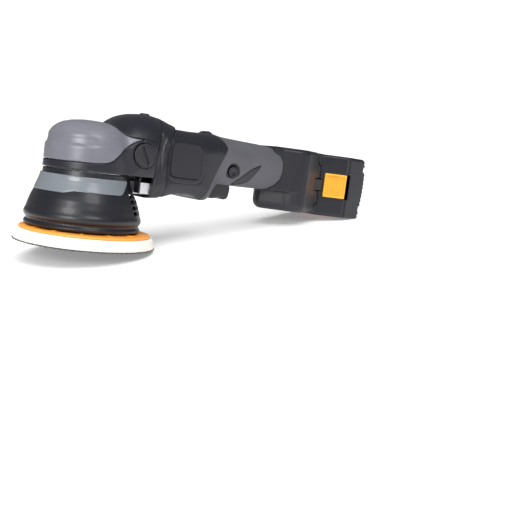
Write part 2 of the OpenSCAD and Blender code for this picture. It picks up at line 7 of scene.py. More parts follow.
import bpy
import numpy as np
from bpy.props import FloatProperty, FloatVectorProperty, PointerProperty
from mathutils import Matrix, Vector

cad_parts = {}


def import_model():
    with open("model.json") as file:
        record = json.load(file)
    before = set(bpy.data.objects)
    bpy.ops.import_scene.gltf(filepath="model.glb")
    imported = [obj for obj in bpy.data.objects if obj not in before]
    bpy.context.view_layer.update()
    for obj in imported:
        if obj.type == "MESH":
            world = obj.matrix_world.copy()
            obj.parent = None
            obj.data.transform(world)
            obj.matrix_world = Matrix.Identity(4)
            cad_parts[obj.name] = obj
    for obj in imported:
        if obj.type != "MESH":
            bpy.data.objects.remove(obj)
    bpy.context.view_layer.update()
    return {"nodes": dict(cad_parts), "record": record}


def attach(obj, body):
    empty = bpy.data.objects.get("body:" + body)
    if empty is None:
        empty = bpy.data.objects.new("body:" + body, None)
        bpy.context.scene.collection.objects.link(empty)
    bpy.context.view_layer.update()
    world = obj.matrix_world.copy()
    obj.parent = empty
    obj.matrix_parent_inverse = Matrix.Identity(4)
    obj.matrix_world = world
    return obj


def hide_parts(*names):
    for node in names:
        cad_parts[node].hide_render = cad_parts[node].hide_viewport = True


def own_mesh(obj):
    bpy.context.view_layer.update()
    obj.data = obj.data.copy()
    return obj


bl_info = {
    "name": "Dual Action Polisher",
    "version": (1, 0, 0),
    "blender": (4, 5, 0),
    "location": "View3D > Sidebar > Polisher",
    "description": "Builds the shells, pad, battery and finishes of a cordless polisher",
    "category": "Object",
}

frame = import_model()
MM = 0.001
STEP = 0.62  # spacing of the modelling grid, mm
SEAM = 0.15  # half of a joint line, mm
WALL, PACK_WALL = 2.6, 2.4  # shell thicknesses, mm
SIDES = ((-1, "left"), (1, "right"))


# ---- solids from distance fields ------------------------------------------------------------
def smooth_max(a, b, k=0.8):
    """The larger of two distances, with the edge between them rounded over k."""
    h = np.clip(0.5 + 0.5 * (a - b) / k, 0, 1)
    return b * (1 - h) + a * h + k * h * (1 - h)


def smooth_min(a, b, k=0.8):
    return -smooth_max(-a, -b, k)


def carve(solid, *cuts):
    """The solid with each cut, a tool and the rounding of its edge, taken out."""
    for tool, k in cuts:
        solid = smooth_max(solid, -tool, k)
    return solid


def round_and(a, b, r):
    """Where two slabs cross, with an outer corner of radius r."""
    u, v = a + r, b + r
    return np.minimum(np.maximum(u, v), 0) + np.hypot(np.maximum(u, 0), np.maximum(v, 0)) - r


def slab(values, low, high, r=0.4):
    """A rounded box in any three coordinates."""
    q = [np.maximum(lo - v, v - hi) + r for v, lo, hi in zip(values, low, high)]
    out = np.sqrt(sum(np.maximum(v, 0) ** 2 for v in q))
    return out + np.minimum(np.maximum(np.maximum(q[0], q[1]), q[2]), 0) - r


def fade(t, start, end):
    """0 before start, 1 after end, smooth between."""
    s = np.clip((t - start) / (end - start), 0, 1)
    return s * s * (3 - 2 * s)


def spline(points, parts=6, closed=True):
    """A smooth line through the points."""
    n, out = len(points), []
    pick = (lambda i: points[i % n]) if closed else (lambda i: points[min(max(i, 0), n - 1)])
    for i in range(n if closed else n - 1):
        p = [np.array(pick(i + d), float) for d in (-1, 0, 1, 2)]
        for j in range(parts):
            t = j / parts
            out.append(tuple(0.5 * (2 * p[1] + (p[2] - p[0]) * t
                             + (2 * p[0] - 5 * p[1] + 4 * p[2] - p[3]) * t * t
                             + (3 * p[1] - p[0] - 3 * p[2] + p[3]) * t ** 3)))
    return out if closed else out + [tuple(points[-1])]


def softened(points):
    """A closed outline with its corners cut."""
    out = []
    for p, q in zip(points, points[1:] + points[:1]):
        out += [(0.75 * p[0] + 0.25 * q[0], 0.75 * p[1] + 0.25 * q[1]),
                (0.25 * p[0] + 0.75 * q[0], 0.25 * p[1] + 0.75 * q[1])]
    return out


def rounded_rect(x0, y0, x1, y1, r, n=6):
    out = []
    for k, (cx, cy) in enumerate(((x1 - r, y1 - r), (x0 + r, y1 - r), (x0 + r, y0 + r), (x1 - r, y0 + r))):
        for i in range(n + 1):
            a = math.radians(90 * k + 90 * i / n)
            out.append((cx + r * math.cos(a), cy + r * math.sin(a)))
    return out


def outline_distance(points, a, b):
    """Distance from (a, b) to a closed outline, negative inside."""
    shape = np.broadcast(a, b).shape
    near, inside = np.full(shape, 1e9), np.zeros(shape, bool)
    for (ax, ay), (bx, by) in zip(points, points[1:] + points[:1]):
        ex, ey = bx - ax, by - ay
        if abs(ex) + abs(ey) < 1e-9:
            continue
        t = np.clip(((a - ax) * ex + (b - ay) * ey) / (ex * ex + ey * ey), 0, 1)
        near = np.minimum(near, (a - ax - ex * t) ** 2 + (b - ay - ey * t) ** 2)
        if abs(ey) > 1e-9:
            inside ^= ((ay > b) != (by > b)) & (a < ax + (b - ay) * ex / ey)
    return np.where(inside, -1, 1) * np.sqrt(near)


class Clay:
    """A box of space in millimetres, in which a solid is given by its distance field."""

    def __init__(self, low, high, step=None):
        self.h = step or STEP
        self.low = np.array(low, float) - 1.5 * self.h
        n = [int(math.ceil((b - a) / self.h)) + 5 for a, b in zip(low, high)]
        axes = [self.low[i] + self.h * np.arange(n[i]) for i in range(3)]
        self.x, self.y, self.z = axes[0][:, None, None], axes[1][None, :, None], axes[2][None, None, :]

    def side(self, points):
        return outline_distance(points, self.x, self.z)

    def plan(self, points):
        return outline_distance(points, self.x, self.y)

    def along(self, keys):
        """A width that changes smoothly along X."""
        line = np.array(spline(keys, 6, closed=False))
        return np.interp(self.x, line[:, 0], line[:, 1])

    def polar(self, centre=(0.0, 0.0)):
        """Angle in degrees and radius about a vertical axis."""
        x, y = self.x - centre[0], self.y - centre[1]
        return np.degrees(np.arctan2(y, x)), np.hypot(x, y)

    def lathe(self, profile, centre=(0.0, 0.0)):
        """A turned solid about a vertical axis, from its (radius, height) outline."""
        pitch = self.h * 0.5
        r = self.polar(centre)[1][:, :, 0]
        radii = (np.arange(int(r.max() / pitch) + 3) * pitch)[:, None]
        table = outline_distance(profile, radii, self.z[0, 0][None, :])
        i = (r / pitch).astype(int)
        t = (r / pitch - i)[:, :, None]
        return table[i] * (1 - t) + table[i + 1] * t

    def box(self, low, high, r=0.4):
        return slab((self.x, self.y, self.z), low, high, r)

    def ball(self, x, y, z, r):
        return np.sqrt((self.x - x) ** 2 + (self.y - y) ** 2 + (self.z - z) ** 2) - r

    def _rod(self, u, v, r, w, ends, edge):
        low, high = sorted(ends)
        return round_and(np.hypot(u, v) - r, np.maximum(low - w, w - high), edge)

    def rod_x(self, y, z, r, x0, x1, edge=0.4):
        return self._rod(self.y - y, self.z - z, r, self.x, (x0, x1), edge)

    def rod_y(self, x, z, r, y0, y1, edge=0.4):
        return self._rod(self.x - x, self.z - z, r, self.y, (y0, y1), edge)

    def rod_z(self, x, y, r, z0, z1, edge=0.4):
        return self._rod(self.x - x, self.y - y, r, self.z, (z0, z1), edge)

    def ring_y(self, x, z, r, half):
        """A thin ring about an axis along Y, for a groove."""
        return np.abs(np.hypot(self.x - x, self.z - z) - r) - half

    def mesh(self, name, field):
        """The solid's skin as an even quad mesh, in metres."""
        f = np.broadcast_to(field, (self.x.size, self.y.size, self.z.size))
        f = np.ascontiguousarray(f, dtype=np.float32)
        for axis in range(3):
            edge = [slice(None)] * 3
            for edge[axis] in (0, -1):
                f[tuple(edge)] = np.maximum(f[tuple(edge)], 0.5 * self.h)
        s = f < 0
        n = np.array(f.shape)
        count = np.zeros(n - 1, np.uint8)
        for dx, dy, dz in product((0, 1), repeat=3):
            count += s[dx:n[0] - 1 + dx, dy:n[1] - 1 + dy, dz:n[2] - 1 + dz]
        cells = np.argwhere((count > 0) & (count < 8))
        index = np.full(n - 1, -1, np.int32)
        index[tuple(cells.T)] = np.arange(len(cells))
        total, hits = np.zeros((len(cells), 3)), np.zeros(len(cells))
        for axis in range(3):
            others = [a for a in range(3) if a != axis]
            for shift in product((0, 1), repeat=2):
                a = cells.copy()
                a[:, others] += shift
                b = a.copy()
                b[:, axis] += 1
                fa, fb = f[tuple(a.T)], f[tuple(b.T)]
                cut = (fa < 0) != (fb < 0)
                point = (a - cells).astype(float)
                point[:, axis] += np.where(cut, fa / np.where(cut, fa - fb, 1), 0)
                total += point * cut[:, None]
                hits += cut
        quads = []
        for axis in range(3):
            across = [(axis + 1) % 3, (axis + 2) % 3]
            first, second = [slice(1, -1)] * 3, [slice(1, -1)] * 3
            first[axis], second[axis] = slice(0, -1), slice(1, None)
            e = np.argwhere(s[tuple(first)] != s[tuple(second)])
            e[:, across] += 1
            corner = []
            for shift in ((-1, -1), (0, -1), (0, 0), (-1, 0)):
                c = e.copy()
                c[:, across] += shift
                corner.append(index[tuple(c.T)])
            quad = np.stack(corner, 1)
            inner = s[tuple(e.T)]
            quad[~inner] = quad[~inner][:, ::-1]
            quads.append(quad)
        quads = np.concatenate(quads)
        at = self._settle(f, cells + total / hits[:, None], quads)
        mesh = bpy.data.meshes.new(name)
        mesh.vertices.add(len(at))
        mesh.vertices.foreach_set("co", ((self.low + at * self.h) * MM).astype(np.float32).ravel())
        mesh.loops.add(quads.size)
        mesh.loops.foreach_set("vertex_index", quads.ravel().astype(np.int32))
        mesh.polygons.add(len(quads))
        mesh.polygons.foreach_set("loop_start", np.arange(0, quads.size, 4, dtype=np.int32))
        mesh.polygons.foreach_set("use_smooth", np.ones(len(quads), bool))
        mesh.update(calc_edges=True)
        mesh.validate()
        return mesh

    def _settle(self, f, at, quads):
        """Evens the points out and puts them back on the surface."""
        top = np.array(f.shape) - 1.001

        def value(p):
            p = np.clip(p, 0, top)
            i = p.astype(int)
            t = p - i
            out = 0
            for corner in product((0, 1), repeat=3):
                out = out + np.prod(np.where(corner, t, 1 - t), axis=1) * f[tuple((i + corner).T)]
            return out

        a, b = quads.ravel(), np.roll(quads, 1, axis=1).ravel()
        degree = np.maximum(np.bincount(a, minlength=len(at)), 1)[:, None]
        d = 0.5
        for _ in range(3):
            mean = np.stack([np.bincount(a, at[b, k], minlength=len(at)) for k in range(3)], 1) / degree
            at = at + 0.5 * (mean - at)
            g = np.stack([value(at + d * e) - value(at - d * e) for e in np.eye(3)], 1) / (2 * d)
            size = np.maximum((g * g).sum(1), 0.2 * self.h ** 2)
            at = at + np.clip((-value(at) / size)[:, None] * g, -0.4, 0.4)
        return at


def side_clay(side, x, y, z, step=None):
    """A box of space on one side of the middle plane, with y measured outwards."""
    low, high = sorted((side * y[0], side * y[1]))
    return Clay((x[0], low, z[0]), (x[1], high, z[1]), step)


# ---- pieces ----------------------------------------------------------------------------------
MATS = {}


def link(mesh, name):
    obj = bpy.data.objects.new(name, mesh)
    bpy.context.scene.collection.objects.link(obj)
    return obj


def add_piece(mesh, name, body, slot, *nodes):
    """A finished mesh becomes a piece that rides on a body and stands for CAD nodes."""
    obj = link(mesh, name)
    mesh.materials.clear()
    mesh.materials.append(MATS[slot])
    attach(obj, body)
    if nodes:
        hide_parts(*nodes)
    return obj


def model(c, field, name, body, slot, *nodes):
    """The solid of a distance field, made a piece."""
    return add_piece(c.mesh(name, field), name, body, slot, *nodes)


def input_id(tree, name):
    return next(s.identifier for s in tree.interface.items_tree
                if s.item_type == "SOCKET" and s.in_out == "INPUT" and s.name == name)


def new_group(name, kind, inputs, outputs):
    """An empty node group with its sockets; gives its inputs and outputs as seen from inside."""
    tree = bpy.data.node_groups.new(name, kind)
    for label, sort, value in inputs:
        s = tree.interface.new_socket(label, in_out="INPUT", socket_type="NodeSocket" + sort)
        if value is not None:
            s.default_value = value
    for label, sort in outputs:
        tree.interface.new_socket(label, in_out="OUTPUT", socket_type="NodeSocket" + sort)
    return tree, tree.nodes.new("NodeGroupInput").outputs, tree.nodes.new("NodeGroupOutput").inputs


def node(tree, kind, *feeds, **values):
    """A new node, its inputs given in order or by name, each a value or where it comes from.

    Names that start with an underscore are the node's own settings.
    """
    n = tree.nodes.new(kind)
    for key in [k for k in values if k.startswith("_")]:
        setattr(n, key[1:], values.pop(key))
    named = [(key.replace("_", " "), value) for key, value in values.items()]
    for key, value in [*enumerate(feeds), *named]:
        wire(tree, value, n.inputs[key])
    return n


def wire(tree, value, socket):
    if isinstance(value, bpy.types.Node):
        value = value.outputs[0]
    if isinstance(value, bpy.types.NodeSocket):
        tree.links.new(value, socket)
    else:
        socket.default_value = value


def joined(tree, *parts):
    both = tree.nodes.new("GeometryNodeJoinGeometry")
    for part in parts:
        wire(tree, part, both.inputs[0])
    return both


def geometry_tree(name, sockets):
    """A geometry tree with named inputs; close() ends it by Realize Instances and Set Material."""
    tree, given, result = new_group(name, "GeometryNodeTree", [
        ("Geometry", "Geometry", None), *sockets, ("Material", "Material", None)], [("Geometry", "Geometry")])

    def close(last):
        whole = node(tree, "GeometryNodeRealizeInstances", last)
        wire(tree, node(tree, "GeometryNodeSetMaterial", Geometry=whole, Material=given["Material"]), result[0])
        return tree

    return tree, given, close


def run_tree(tree, base, values, name, slot):
    """The tree's result on a base mesh, as a plain mesh."""
    obj = link(base, name + ".base")
    mod = obj.modifiers.new("repeat", "NODES")
    mod.node_group = tree
    for label, value in {**values, "Material": MATS[slot]}.items():
        mod[input_id(tree, label)] = value
    dg = bpy.context.evaluated_depsgraph_get()
    mesh = bpy.data.meshes.new_from_object(obj.evaluated_get(dg))
    mesh.name = name
    bpy.data.objects.remove(obj)
    return mesh


def points_mesh(points):
    mesh = bpy.data.meshes.new("points")
    mesh.from_pydata([Vector(p) * MM for p in points], [], [])
    return mesh


def screw_tree():
    """Button-head screws with a socket, one on each point, turned to face one way."""
    tree, given, close = geometry_tree("Socket screws", [
        ("Head Radius", "Float", 0.0029), ("Head Height", "Float", 0.002), ("Socket Radius", "Float", 0.0014),
        ("Shank Length", "Float", 0.014), ("Shank Radius", "Float", 0.0014), ("Turn", "Rotation", None)])
    head, hole, shank = (
        node(tree, "GeometryNodeMeshCylinder", Vertices=sides, Radius=given[part + " Radius"],
             Depth=given[depth])
        for part, sides, depth in (("Head", 32, "Head Height"), ("Socket", 6, "Head Height"),
                                   ("Shank", 20, "Shank Length")))
    lift = node(tree, "GeometryNodeTransform", Geometry=hole, Translation=(0, 0, 0.001))
    cut = node(tree, "GeometryNodeMeshBoolean", head, lift, _operation="DIFFERENCE")
    half = node(tree, "ShaderNodeMath", given["Shank Length"], -0.5, _operation="MULTIPLY")
    drop = node(tree, "ShaderNodeCombineXYZ", Z=half)
    sink = node(tree, "GeometryNodeTransform", Geometry=shank, Translation=drop)
    return close(node(tree, "GeometryNodeInstanceOnPoints", Points=given["Geometry"],
                      Instance=joined(tree, cut, sink), Rotation=given["Turn"]))


def bar_tree():
    """Bars of one size, one on each point."""
    tree, given, close = geometry_tree("Bars", [
        ("Size", "Vector", (0.001, 0.001, 0.001)), ("Turn", "Rotation", None)])
    bar = node(tree, "GeometryNodeMeshCube", Size=given["Size"])
    return close(node(tree, "GeometryNodeInstanceOnPoints", Points=given["Geometry"], Instance=bar,
                      Rotation=given["Turn"]))


def hook_tree():
    """Short stiff hooks scattered over a disc, as on hook-and-loop tape."""
    tree, given, close = geometry_tree("Hooks", [
        ("Density", "Float", 180000.0), ("Hook Height", "Float", 0.0008), ("Hook Radius", "Float", 0.00028),
        ("Seed", "Int", 7)])
    spread = node(tree, "GeometryNodeDistributePointsOnFaces", Mesh=given["Geometry"], Density=given["Density"],
                  Seed=given["Seed"])
    hook = node(tree, "GeometryNodeMeshCone", Vertices=4, Radius_Top=0.0004, Radius_Bottom=given["Hook Radius"],
                Depth=given["Hook Height"])
    place = node(tree, "GeometryNodeInstanceOnPoints", Points=spread, Instance=hook,
                 Rotation=spread.outputs["Rotation"])
    return close(joined(tree, given["Geometry"], place))


# ---- finishes --------------------------------------------------------------------------------
def grain_group():
    """Fine moulded or cast grain, slow mottling and faint handling marks."""
    g, given, result = new_group("Surface grain", "ShaderNodeTree", [
        ("Colour", "Color", (0.1, 0.1, 0.1, 1)), ("Mottle", "Float", 0.1), ("Grain Scale", "Float", 2500.0),
        ("Grain Depth", "Float", 0.3), ("Rough Low", "Float", 0.4), ("Rough High", "Float", 0.5),
        ("Stretch", "Vector", (1.0, 1.0, 1.0))],
        [("Colour", "Color"), ("Roughness", "Float"), ("Normal", "Vector")])
    where = g.nodes.new("ShaderNodeTexCoord").outputs["Object"]
    spread = node(g, "ShaderNodeVectorMath", where, given["Stretch"], _operation="MULTIPLY")
    fine = node(g, "ShaderNodeTexNoise", Vector=spread, Scale=given["Grain Scale"], Detail=3.0, Roughness=0.6)
    slow = node(g, "ShaderNodeTexNoise", Vector=spread, Scale=38.0, Detail=4.0, Roughness=0.55)
    marks = node(g, "ShaderNodeTexNoise", Vector=where, Scale=160.0, Detail=5.0, Roughness=0.7, Distortion=1.2)
    mottle = node(g, "ShaderNodeMapRange", Value=slow, From_Min=0.3, From_Max=0.7, To_Min=-1.0, To_Max=1.0)
    speck = node(g, "ShaderNodeMapRange", Value=fine, From_Min=0.25, From_Max=0.75, To_Min=-0.8, To_Max=0.8)
    both = node(g, "ShaderNodeMath", mottle, speck, _operation="ADD")
    share = node(g, "ShaderNodeMath", both, given["Mottle"], 1.0, _operation="MULTIPLY_ADD")
    wire(g, node(g, "ShaderNodeVectorMath", given["Colour"], Scale=share, _operation="SCALE"), result["Colour"])
    total = node(g, "ShaderNodeMath", slow, marks, _operation="ADD")
    wire(g, node(g, "ShaderNodeMapRange", Value=total, From_Min=0.7, From_Max=1.3, To_Min=given["Rough Low"],
                 To_Max=given["Rough High"]), result["Roughness"])
    wire(g, node(g, "ShaderNodeBump", Distance=0.00012, Strength=given["Grain Depth"], Height=fine),
         result["Normal"])
    return g


def foam_group():
    """Open-cell foam: many small pores in a pale skin."""
    g, given, result = new_group("Foam cells", "ShaderNodeTree", [
        ("Colour", "Color", (0.8, 0.8, 0.75, 1)), ("Pore Shade Colour", "Color", (0.5, 0.48, 0.42, 1)),
        ("Cell Scale", "Float", 900.0), ("Depth", "Float", 0.5)], [("Colour", "Color"), ("Normal", "Vector")])
    where = g.nodes.new("ShaderNodeTexCoord").outputs["Object"]
    cells = node(g, "ShaderNodeTexVoronoi", Vector=where, Scale=given["Cell Scale"], Randomness=1.0)
    pore = node(g, "ShaderNodeMapRange", Value=cells, From_Min=0.05, From_Max=0.45)
    # painted shade: the pits take the darker pore shade colour, the cell walls the foam colour
    mix = node(g, "ShaderNodeMix", Factor=pore, _data_type="RGBA")
    for socket, label in ((6, "Pore Shade Colour"), (7, "Colour")):
        g.links.new(given[label], mix.inputs[socket])
    g.links.new(mix.outputs[2], result["Colour"])
    wire(g, node(g, "ShaderNodeBump", Distance=0.0004, Strength=given["Depth"], Height=pore), result["Normal"])
    return g


GRAIN = grain_group()
FOAM = foam_group()


def group_material(name, look, inputs, **fixed):
    """A material of a group and a plain shader with its constants on its own sockets."""
    mat = bpy.data.materials.new(name)
    mat.use_nodes = True
    tree = mat.node_tree
    shader = tree.nodes["Principled BSDF"]
    group = tree.nodes.new("ShaderNodeGroup")
    group.node_tree = look
    for label, value in inputs.items():
        group.inputs[label].default_value = value
    for source in group.outputs:
        tree.links.new(source, shader.inputs["Base Color" if source.name == "Colour" else source.name])
    for key, value in fixed.items():
        shader.inputs[key.replace("_", " ")].default_value = value
    return mat


def grained(name, colour, rough, mottle=0.08, scale=2500.0, depth=0.25, stretch=(1, 1, 1), **fixed):
    return group_material(name, GRAIN, {
        "Colour": (*colour, 1), "Mottle": mottle, "Grain Scale": scale, "Grain Depth": depth,
        "Rough Low": rough[0], "Rough High": rough[1], "Stretch": stretch}, **fixed)


def foam_material(colour):
    # painted shade for the foam's pits: the foam colour made darker and warmer
    pore_shade = (colour[0] * 0.8, colour[1] * 0.77, colour[2] * 0.7, 1)
    return group_material("foam_white", FOAM, {"Colour": (*colour, 1), "Pore Shade Colour": pore_shade}, Roughness=0.9,
                          Subsurface_Weight=0.15, Subsurface_Radius=(0.003, 0.0025, 0.002))


def finishes(p):
    """Every material, by the record's slot names: colour, roughness, mottle, grain scale and depth."""
    def darker(share):
        return tuple(v * share for v in p.black)

    metal, coat = "Metallic", "Coat_Weight"
    table = {
        "grey_plastic": (tuple(p.handle_grey), (0.5, 0.62), 0.1, 1500, 0.55),
        "cover_grey": (tuple(p.cover_grey), (0.3, 0.38), 0.05, 2800, 0.08, {metal: 0.1}),
        "black_plastic": (tuple(p.black), (0.32, 0.42), 0.1, 2200, 0.2),
        "soft_black": (darker(0.9), (0.36, 0.46), 0.1, 1900, 0.25),
        "skirt_black": (darker(0.8), (0.33, 0.43), 0.08, 1600, 0.12, {coat: 0.08}),
        "band_grey": (tuple(p.band_grey), (0.3, 0.4), 0.06, 1500, 0.05, {coat: 0.2}),
        "badge_black": (darker(0.7), (0.3, 0.4), 0.08, 2600, 0.2),
        "plate_orange": (tuple(p.plate_orange), (0.3, 0.42), 0.05, 1600, 0.15),
        "hook_grey": ((0.05, 0.05, 0.055), (0.6, 0.8), 0.2, 1800, 0.6, {"Sheen_Weight": 0.2}),
        "steel": ((0.6, 0.61, 0.63), (0.2, 0.38), 0.06, 700, 0.15, {metal: 1.0, "stretch": (1, 1, 9)}),
        "dark_steel": ((0.06, 0.06, 0.07), (0.28, 0.42), 0.1, 1500, 0.2, {metal: 0.8}),
        "cast_alloy": ((0.66, 0.67, 0.69), (0.38, 0.55), 0.08, 900, 0.6, {metal: 1.0}),
        "balance_iron": ((0.3, 0.3, 0.32), (0.45, 0.6), 0.12, 800, 0.6, {metal: 0.9}),
        "copper_wire": ((0.6, 0.24, 0.09), (0.3, 0.4), 0.25, 1400, 1.0, {metal: 0.9, "stretch": (8, 1, 1)}),
        "magnet_dark": ((0.1, 0.1, 0.11), (0.3, 0.4), 0.1, 1500, 0.2, {metal: 0.5}),
        "inner_plastic": ((0.05, 0.05, 0.055), (0.45, 0.6), 0.1, 1500, 0.3),
        "board_green": ((0.02, 0.14, 0.06), (0.25, 0.4), 0.2, 600, 0.2, {coat: 0.3}),
        "contact_brass": ((0.78, 0.58, 0.25), (0.2, 0.35), 0.08, 900, 0.2, {metal: 1.0}),
        "cell_wrap": ((0.01, 0.02, 0.02), (0.4, 0.5), 0.05, 500, 0.1, {coat: 0.3}),
        "pack_black": (darker(0.95), (0.3, 0.4), 0.1, 2000, 0.2),
        "latch_amber": (tuple(p.latch_amber), (0.25, 0.35), 0.04, 1500, 0.1,
                        {"Subsurface_Weight": 0.1, coat: 0.15}),
        "gauge_red": ((0.7, 0.03, 0.04), (0.25, 0.35), 0.04, 1500, 0.1, {coat: 0.2}),
        "lens_clear": ((0.6, 0.62, 0.6), (0.15, 0.25), 0.04, 1500, 0.1, {coat: 0.5}),
        "label_orange": ((0.3, 0.08, 0.02), (0.35, 0.45), 0.05, 1200, 0.12),
    }
    mats = {name: grained(name, *row[:5], **dict(*row[5:])) for name, row in table.items()}
    return {**mats, "foam_white": foam_material(tuple(p.foam_white))}


# ---- the tool's forms, in millimetres -----------------------------------------------------------
DOME = [(0, 58), (39.5, 58), (39.3, 66), (38.9, 72), (38.6, 78), (38.3, 84), (37.9, 88), (37.2, 92),
    (35.6, 96.6), (32.9, 100.6), (29.4, 103.6), (25.2, 106), (18, 108.2), (9, 109.5), (0, 109.8)]
DOME_FRONT = [(0, 58), (39.5, 58), (39.3, 66), (39, 72), (38.8, 80), (38.7, 84.6), (38.0, 86.6), (37.2, 87.6),
    (37.1, 90.5), (36.7, 93.5), (35.9, 96), (33.3, 100.2), (29.6, 103.4), (25.2, 106), (18, 108.2),
    (9, 109.5), (0, 109.8)]
HOOD_SIDE = [(0, 40), (88, 40), (92, 60), (92, 112.4), (84, 115.2), (78, 117), (71, 119), (65, 120.8),
    (59, 122), (52, 122.7), (45, 122.5), (37, 121.3), (31, 119.6), (25, 117.2), (19, 113.6), (13, 109.2),
    (6, 105.5), (0, 103)]
COVER_EDGE = [(-60, 71.2), (-30, 72.1), (-14, 72.6), (-4, 73.3), (3, 75.2), (9, 79.8), (17, 88), (24, 93.4),
    (30, 96.6), (36.4, 98.3), (29, 98.5), (21.6, 99.4), (16.6, 102.2), (12.6, 106), (9.4, 111), (7, 122),
    (-60, 122)]
COLLAR_EDGE = [(43.5, 40), (44.6, 48), (47, 51.2), (48.6, 56), (48.7, 72), (49.4, 92), (52, 102), (56, 110),
    (62, 128), (88, 128), (81.5, 115.6), (76.5, 112.8), (70.6, 109.4), (65, 103.5), (62.2, 95), (60.8, 84),
    (60.6, 70), (61.6, 56), (62.4, 40)]
BODY_SIDE = [(55, 47), (66, 47.6), (74, 50.2), (82, 51.6), (94, 51.8), (102, 50.6), (108, 48), (112.5, 46.8),
    (117.5, 47.5), (121.6, 50.4), (125, 55.4), (128, 60.4), (131.6, 63.8), (137, 64.7), (160, 64.6),
    (192, 64.5), (200, 66.2), (207, 70.8), (212.4, 77.4), (214.4, 86), (214.2, 96), (211.6, 104.6),
    (206, 110.4), (198, 112.2), (186, 112.8), (158, 113.4), (146, 113.8), (137, 114.6), (129, 115.4),
    (119, 115), (106, 114.2), (95, 113.6), (84, 113.6), (72, 113.6), (55, 113.6)]
BODY_LONG = BODY_SIDE[:16] + [(240, 64.5), (240, 112)] + BODY_SIDE[24:]
HANDLE_EDGE = [(109.2, 30), (109.4, 48), (111.4, 52.4), (115, 61), (119.6, 71.2), (124.8, 81), (129.6, 90),
    (134.4, 97), (137.6, 103), (134.6, 108.4), (129, 112.2), (126.6, 117), (126, 140)]
BODY_WIDTH = [(40, 34.5), (60, 34.5), (96, 34.4), (108, 33.4), (118, 31.8), (128, 29.8), (138, 28.2),
    (150, 27.2), (165, 27), (240, 27)]
BADGE = rounded_rect(66, 68, 101, 101, 7)
INLAY = [(149.8, 67.6), (156.5, 67.9), (163.2, 69.0), (168, 71.4), (171.8, 74.8), (178, 82.4), (183, 89.8),
    (176.4, 87.4), (170, 84.2), (164, 79.6), (158, 74.8)]
NOSE = [(203.6, -5), (209, -11.6), (215.5, -19.3), (221, -26), (226, -31.5), (231, -35.6), (236, -37.8),
    (241, -38.5)]
WEDGE = [(204, -22), (209, -23.6), (214, -25.4), (220, -28.8), (226, -32.8), (231, -35.9), (236, -37.8),
    (241, -38.5)]
DOCK_LOW = [(202.4, 0)] + NOSE + [(243.4, -37.9), (266, -29.9), (266, 38.5)] + [(x, -y) for x, y in NOSE[::-1]]
DOCK_UP = [(204, 0)] + WEDGE + [(243.4, -37.9), (266, -29.9), (266, 38.5)] + [(x, -y) for x, y in WEDGE[::-1]]
LOCK_ON, PLUG, GAUGE = (147, 79.6), (36.5, 84.5), (288, 66)  # (x, z) of round parts on the sides
KNOB = (53, 0)  # (x, y) of the shaft lock
TRIGGER_PIN = (126.5, 63.5)
DIAL_SLOT = ((116.6, -4.6, 99), (135.4, 4.6, 125))
PACK_PANEL = ((292, -26, 40), (325, 26, 42.95), 0.3)
PACK_SCREWS = [(y, z) for y in (-36.3, 36.3) for z in (49.6, 105.4)]
LATCH_START, LATCH_END = (275.0, -25.3), (302.5, -43.5)
PACK_PLAN = [LATCH_START, (301, -42.5), (303.6, -43.5), (331, -43.5), (331, 43.5), (275, 43.5)]
PACK_BACK = [(326.4, 42), (327.6, 48), (329.3, 60), (330.6, 72), (331, 84), (330.6, 94), (329.2, 104),
    (326.6, 113)]
LATCH_WAY = [(4.8, -2), (31.2, -2), (35.6, 2.6), (35.6, 12), (9, 12), (4.8, 8.6)]
TRIGGER_SIDE = [(124.4, 68.5), (122.8, 63), (124.2, 59.4), (126.4, 56.6), (127, 53.4), (129, 51.2),
    (132, 50.9), (136, 49.9), (140, 50.6), (145, 51.5), (149.4, 50.2), (153.4, 50), (156.4, 52), (157.6, 56),
    (158.4, 61.5), (157, 66), (154, 68.5)]


def head_form(c):
    """Round head and neck as one soft form."""
    turn = np.degrees(np.arctan2(np.abs(c.y), -c.x))
    side = fade(turn, 92, 60)
    dome = c.lathe(DOME) * (1 - side) + c.lathe(DOME_FRONT) * side
    reach = 41.7 + 2.4 * fade(turn, 62, 96)
    scoop = np.hypot(np.hypot(c.x, c.y) - reach, c.z - 91.6 - 1.5 * fade(turn, 40, 90)) - 5.0
    crown = np.sqrt((c.x * 0.8 - 4) ** 2 + (np.abs(c.y) - 26) ** 2 * 1.6 + (c.z - 120) ** 2) - 14.4
    dome = carve(dome, (scoop, 1.6), (crown, 2.0))
    width = c.along([(-20, 22), (0, 30), (10, 34.4), (22, 36.8), (36, 37), (60, 36.9), (92, 36.4)])
    neck = round_and(c.side(HOOD_SIDE), np.abs(c.y) - width, 33)
    neck = np.maximum(neck, 1 - c.x)
    return smooth_min(dome, neck, 3.0)


def body_form(c, inset=0.0):
    """Motor section and grip as one soft form."""
    soft = 13 + 8 * fade(c.z, 62, 84)
    bar = round_and(c.side(BODY_LONG), np.abs(c.y) - c.along(BODY_WIDTH), soft)
    return smooth_max(bar, c.side(BODY_SIDE), 1.8) + inset


def shell(form, wall=WALL, k=0.5):
    """A skin of one wall thickness just inside a form."""
    return carve(form, (form + wall, k))


def before(c, edge, gap=SEAM, way=1):
    """The side of an edge line towards the head, or the side beyond it with way -1."""
    return way * c.side(list(edge) + [(-90, edge[-1][1]), (-90, edge[0][1])]) + gap


def halved(c, skin, side):
    return smooth_max(skin, 0.08 - side * c.y, 0.4)


def screw_bores(c, spots):
    out = 1e3
    for x, z in spots:
        out = np.minimum(out, c.rod_y(x, z, 3.1, 16, 60))
    return out


SCREWS = [(74, 57), (106.2, 110.2), (108.2, 56.5), (160, 104), (168, 71.5), (204, 106), (222, 52), (258, 104),
    (256, 52)]


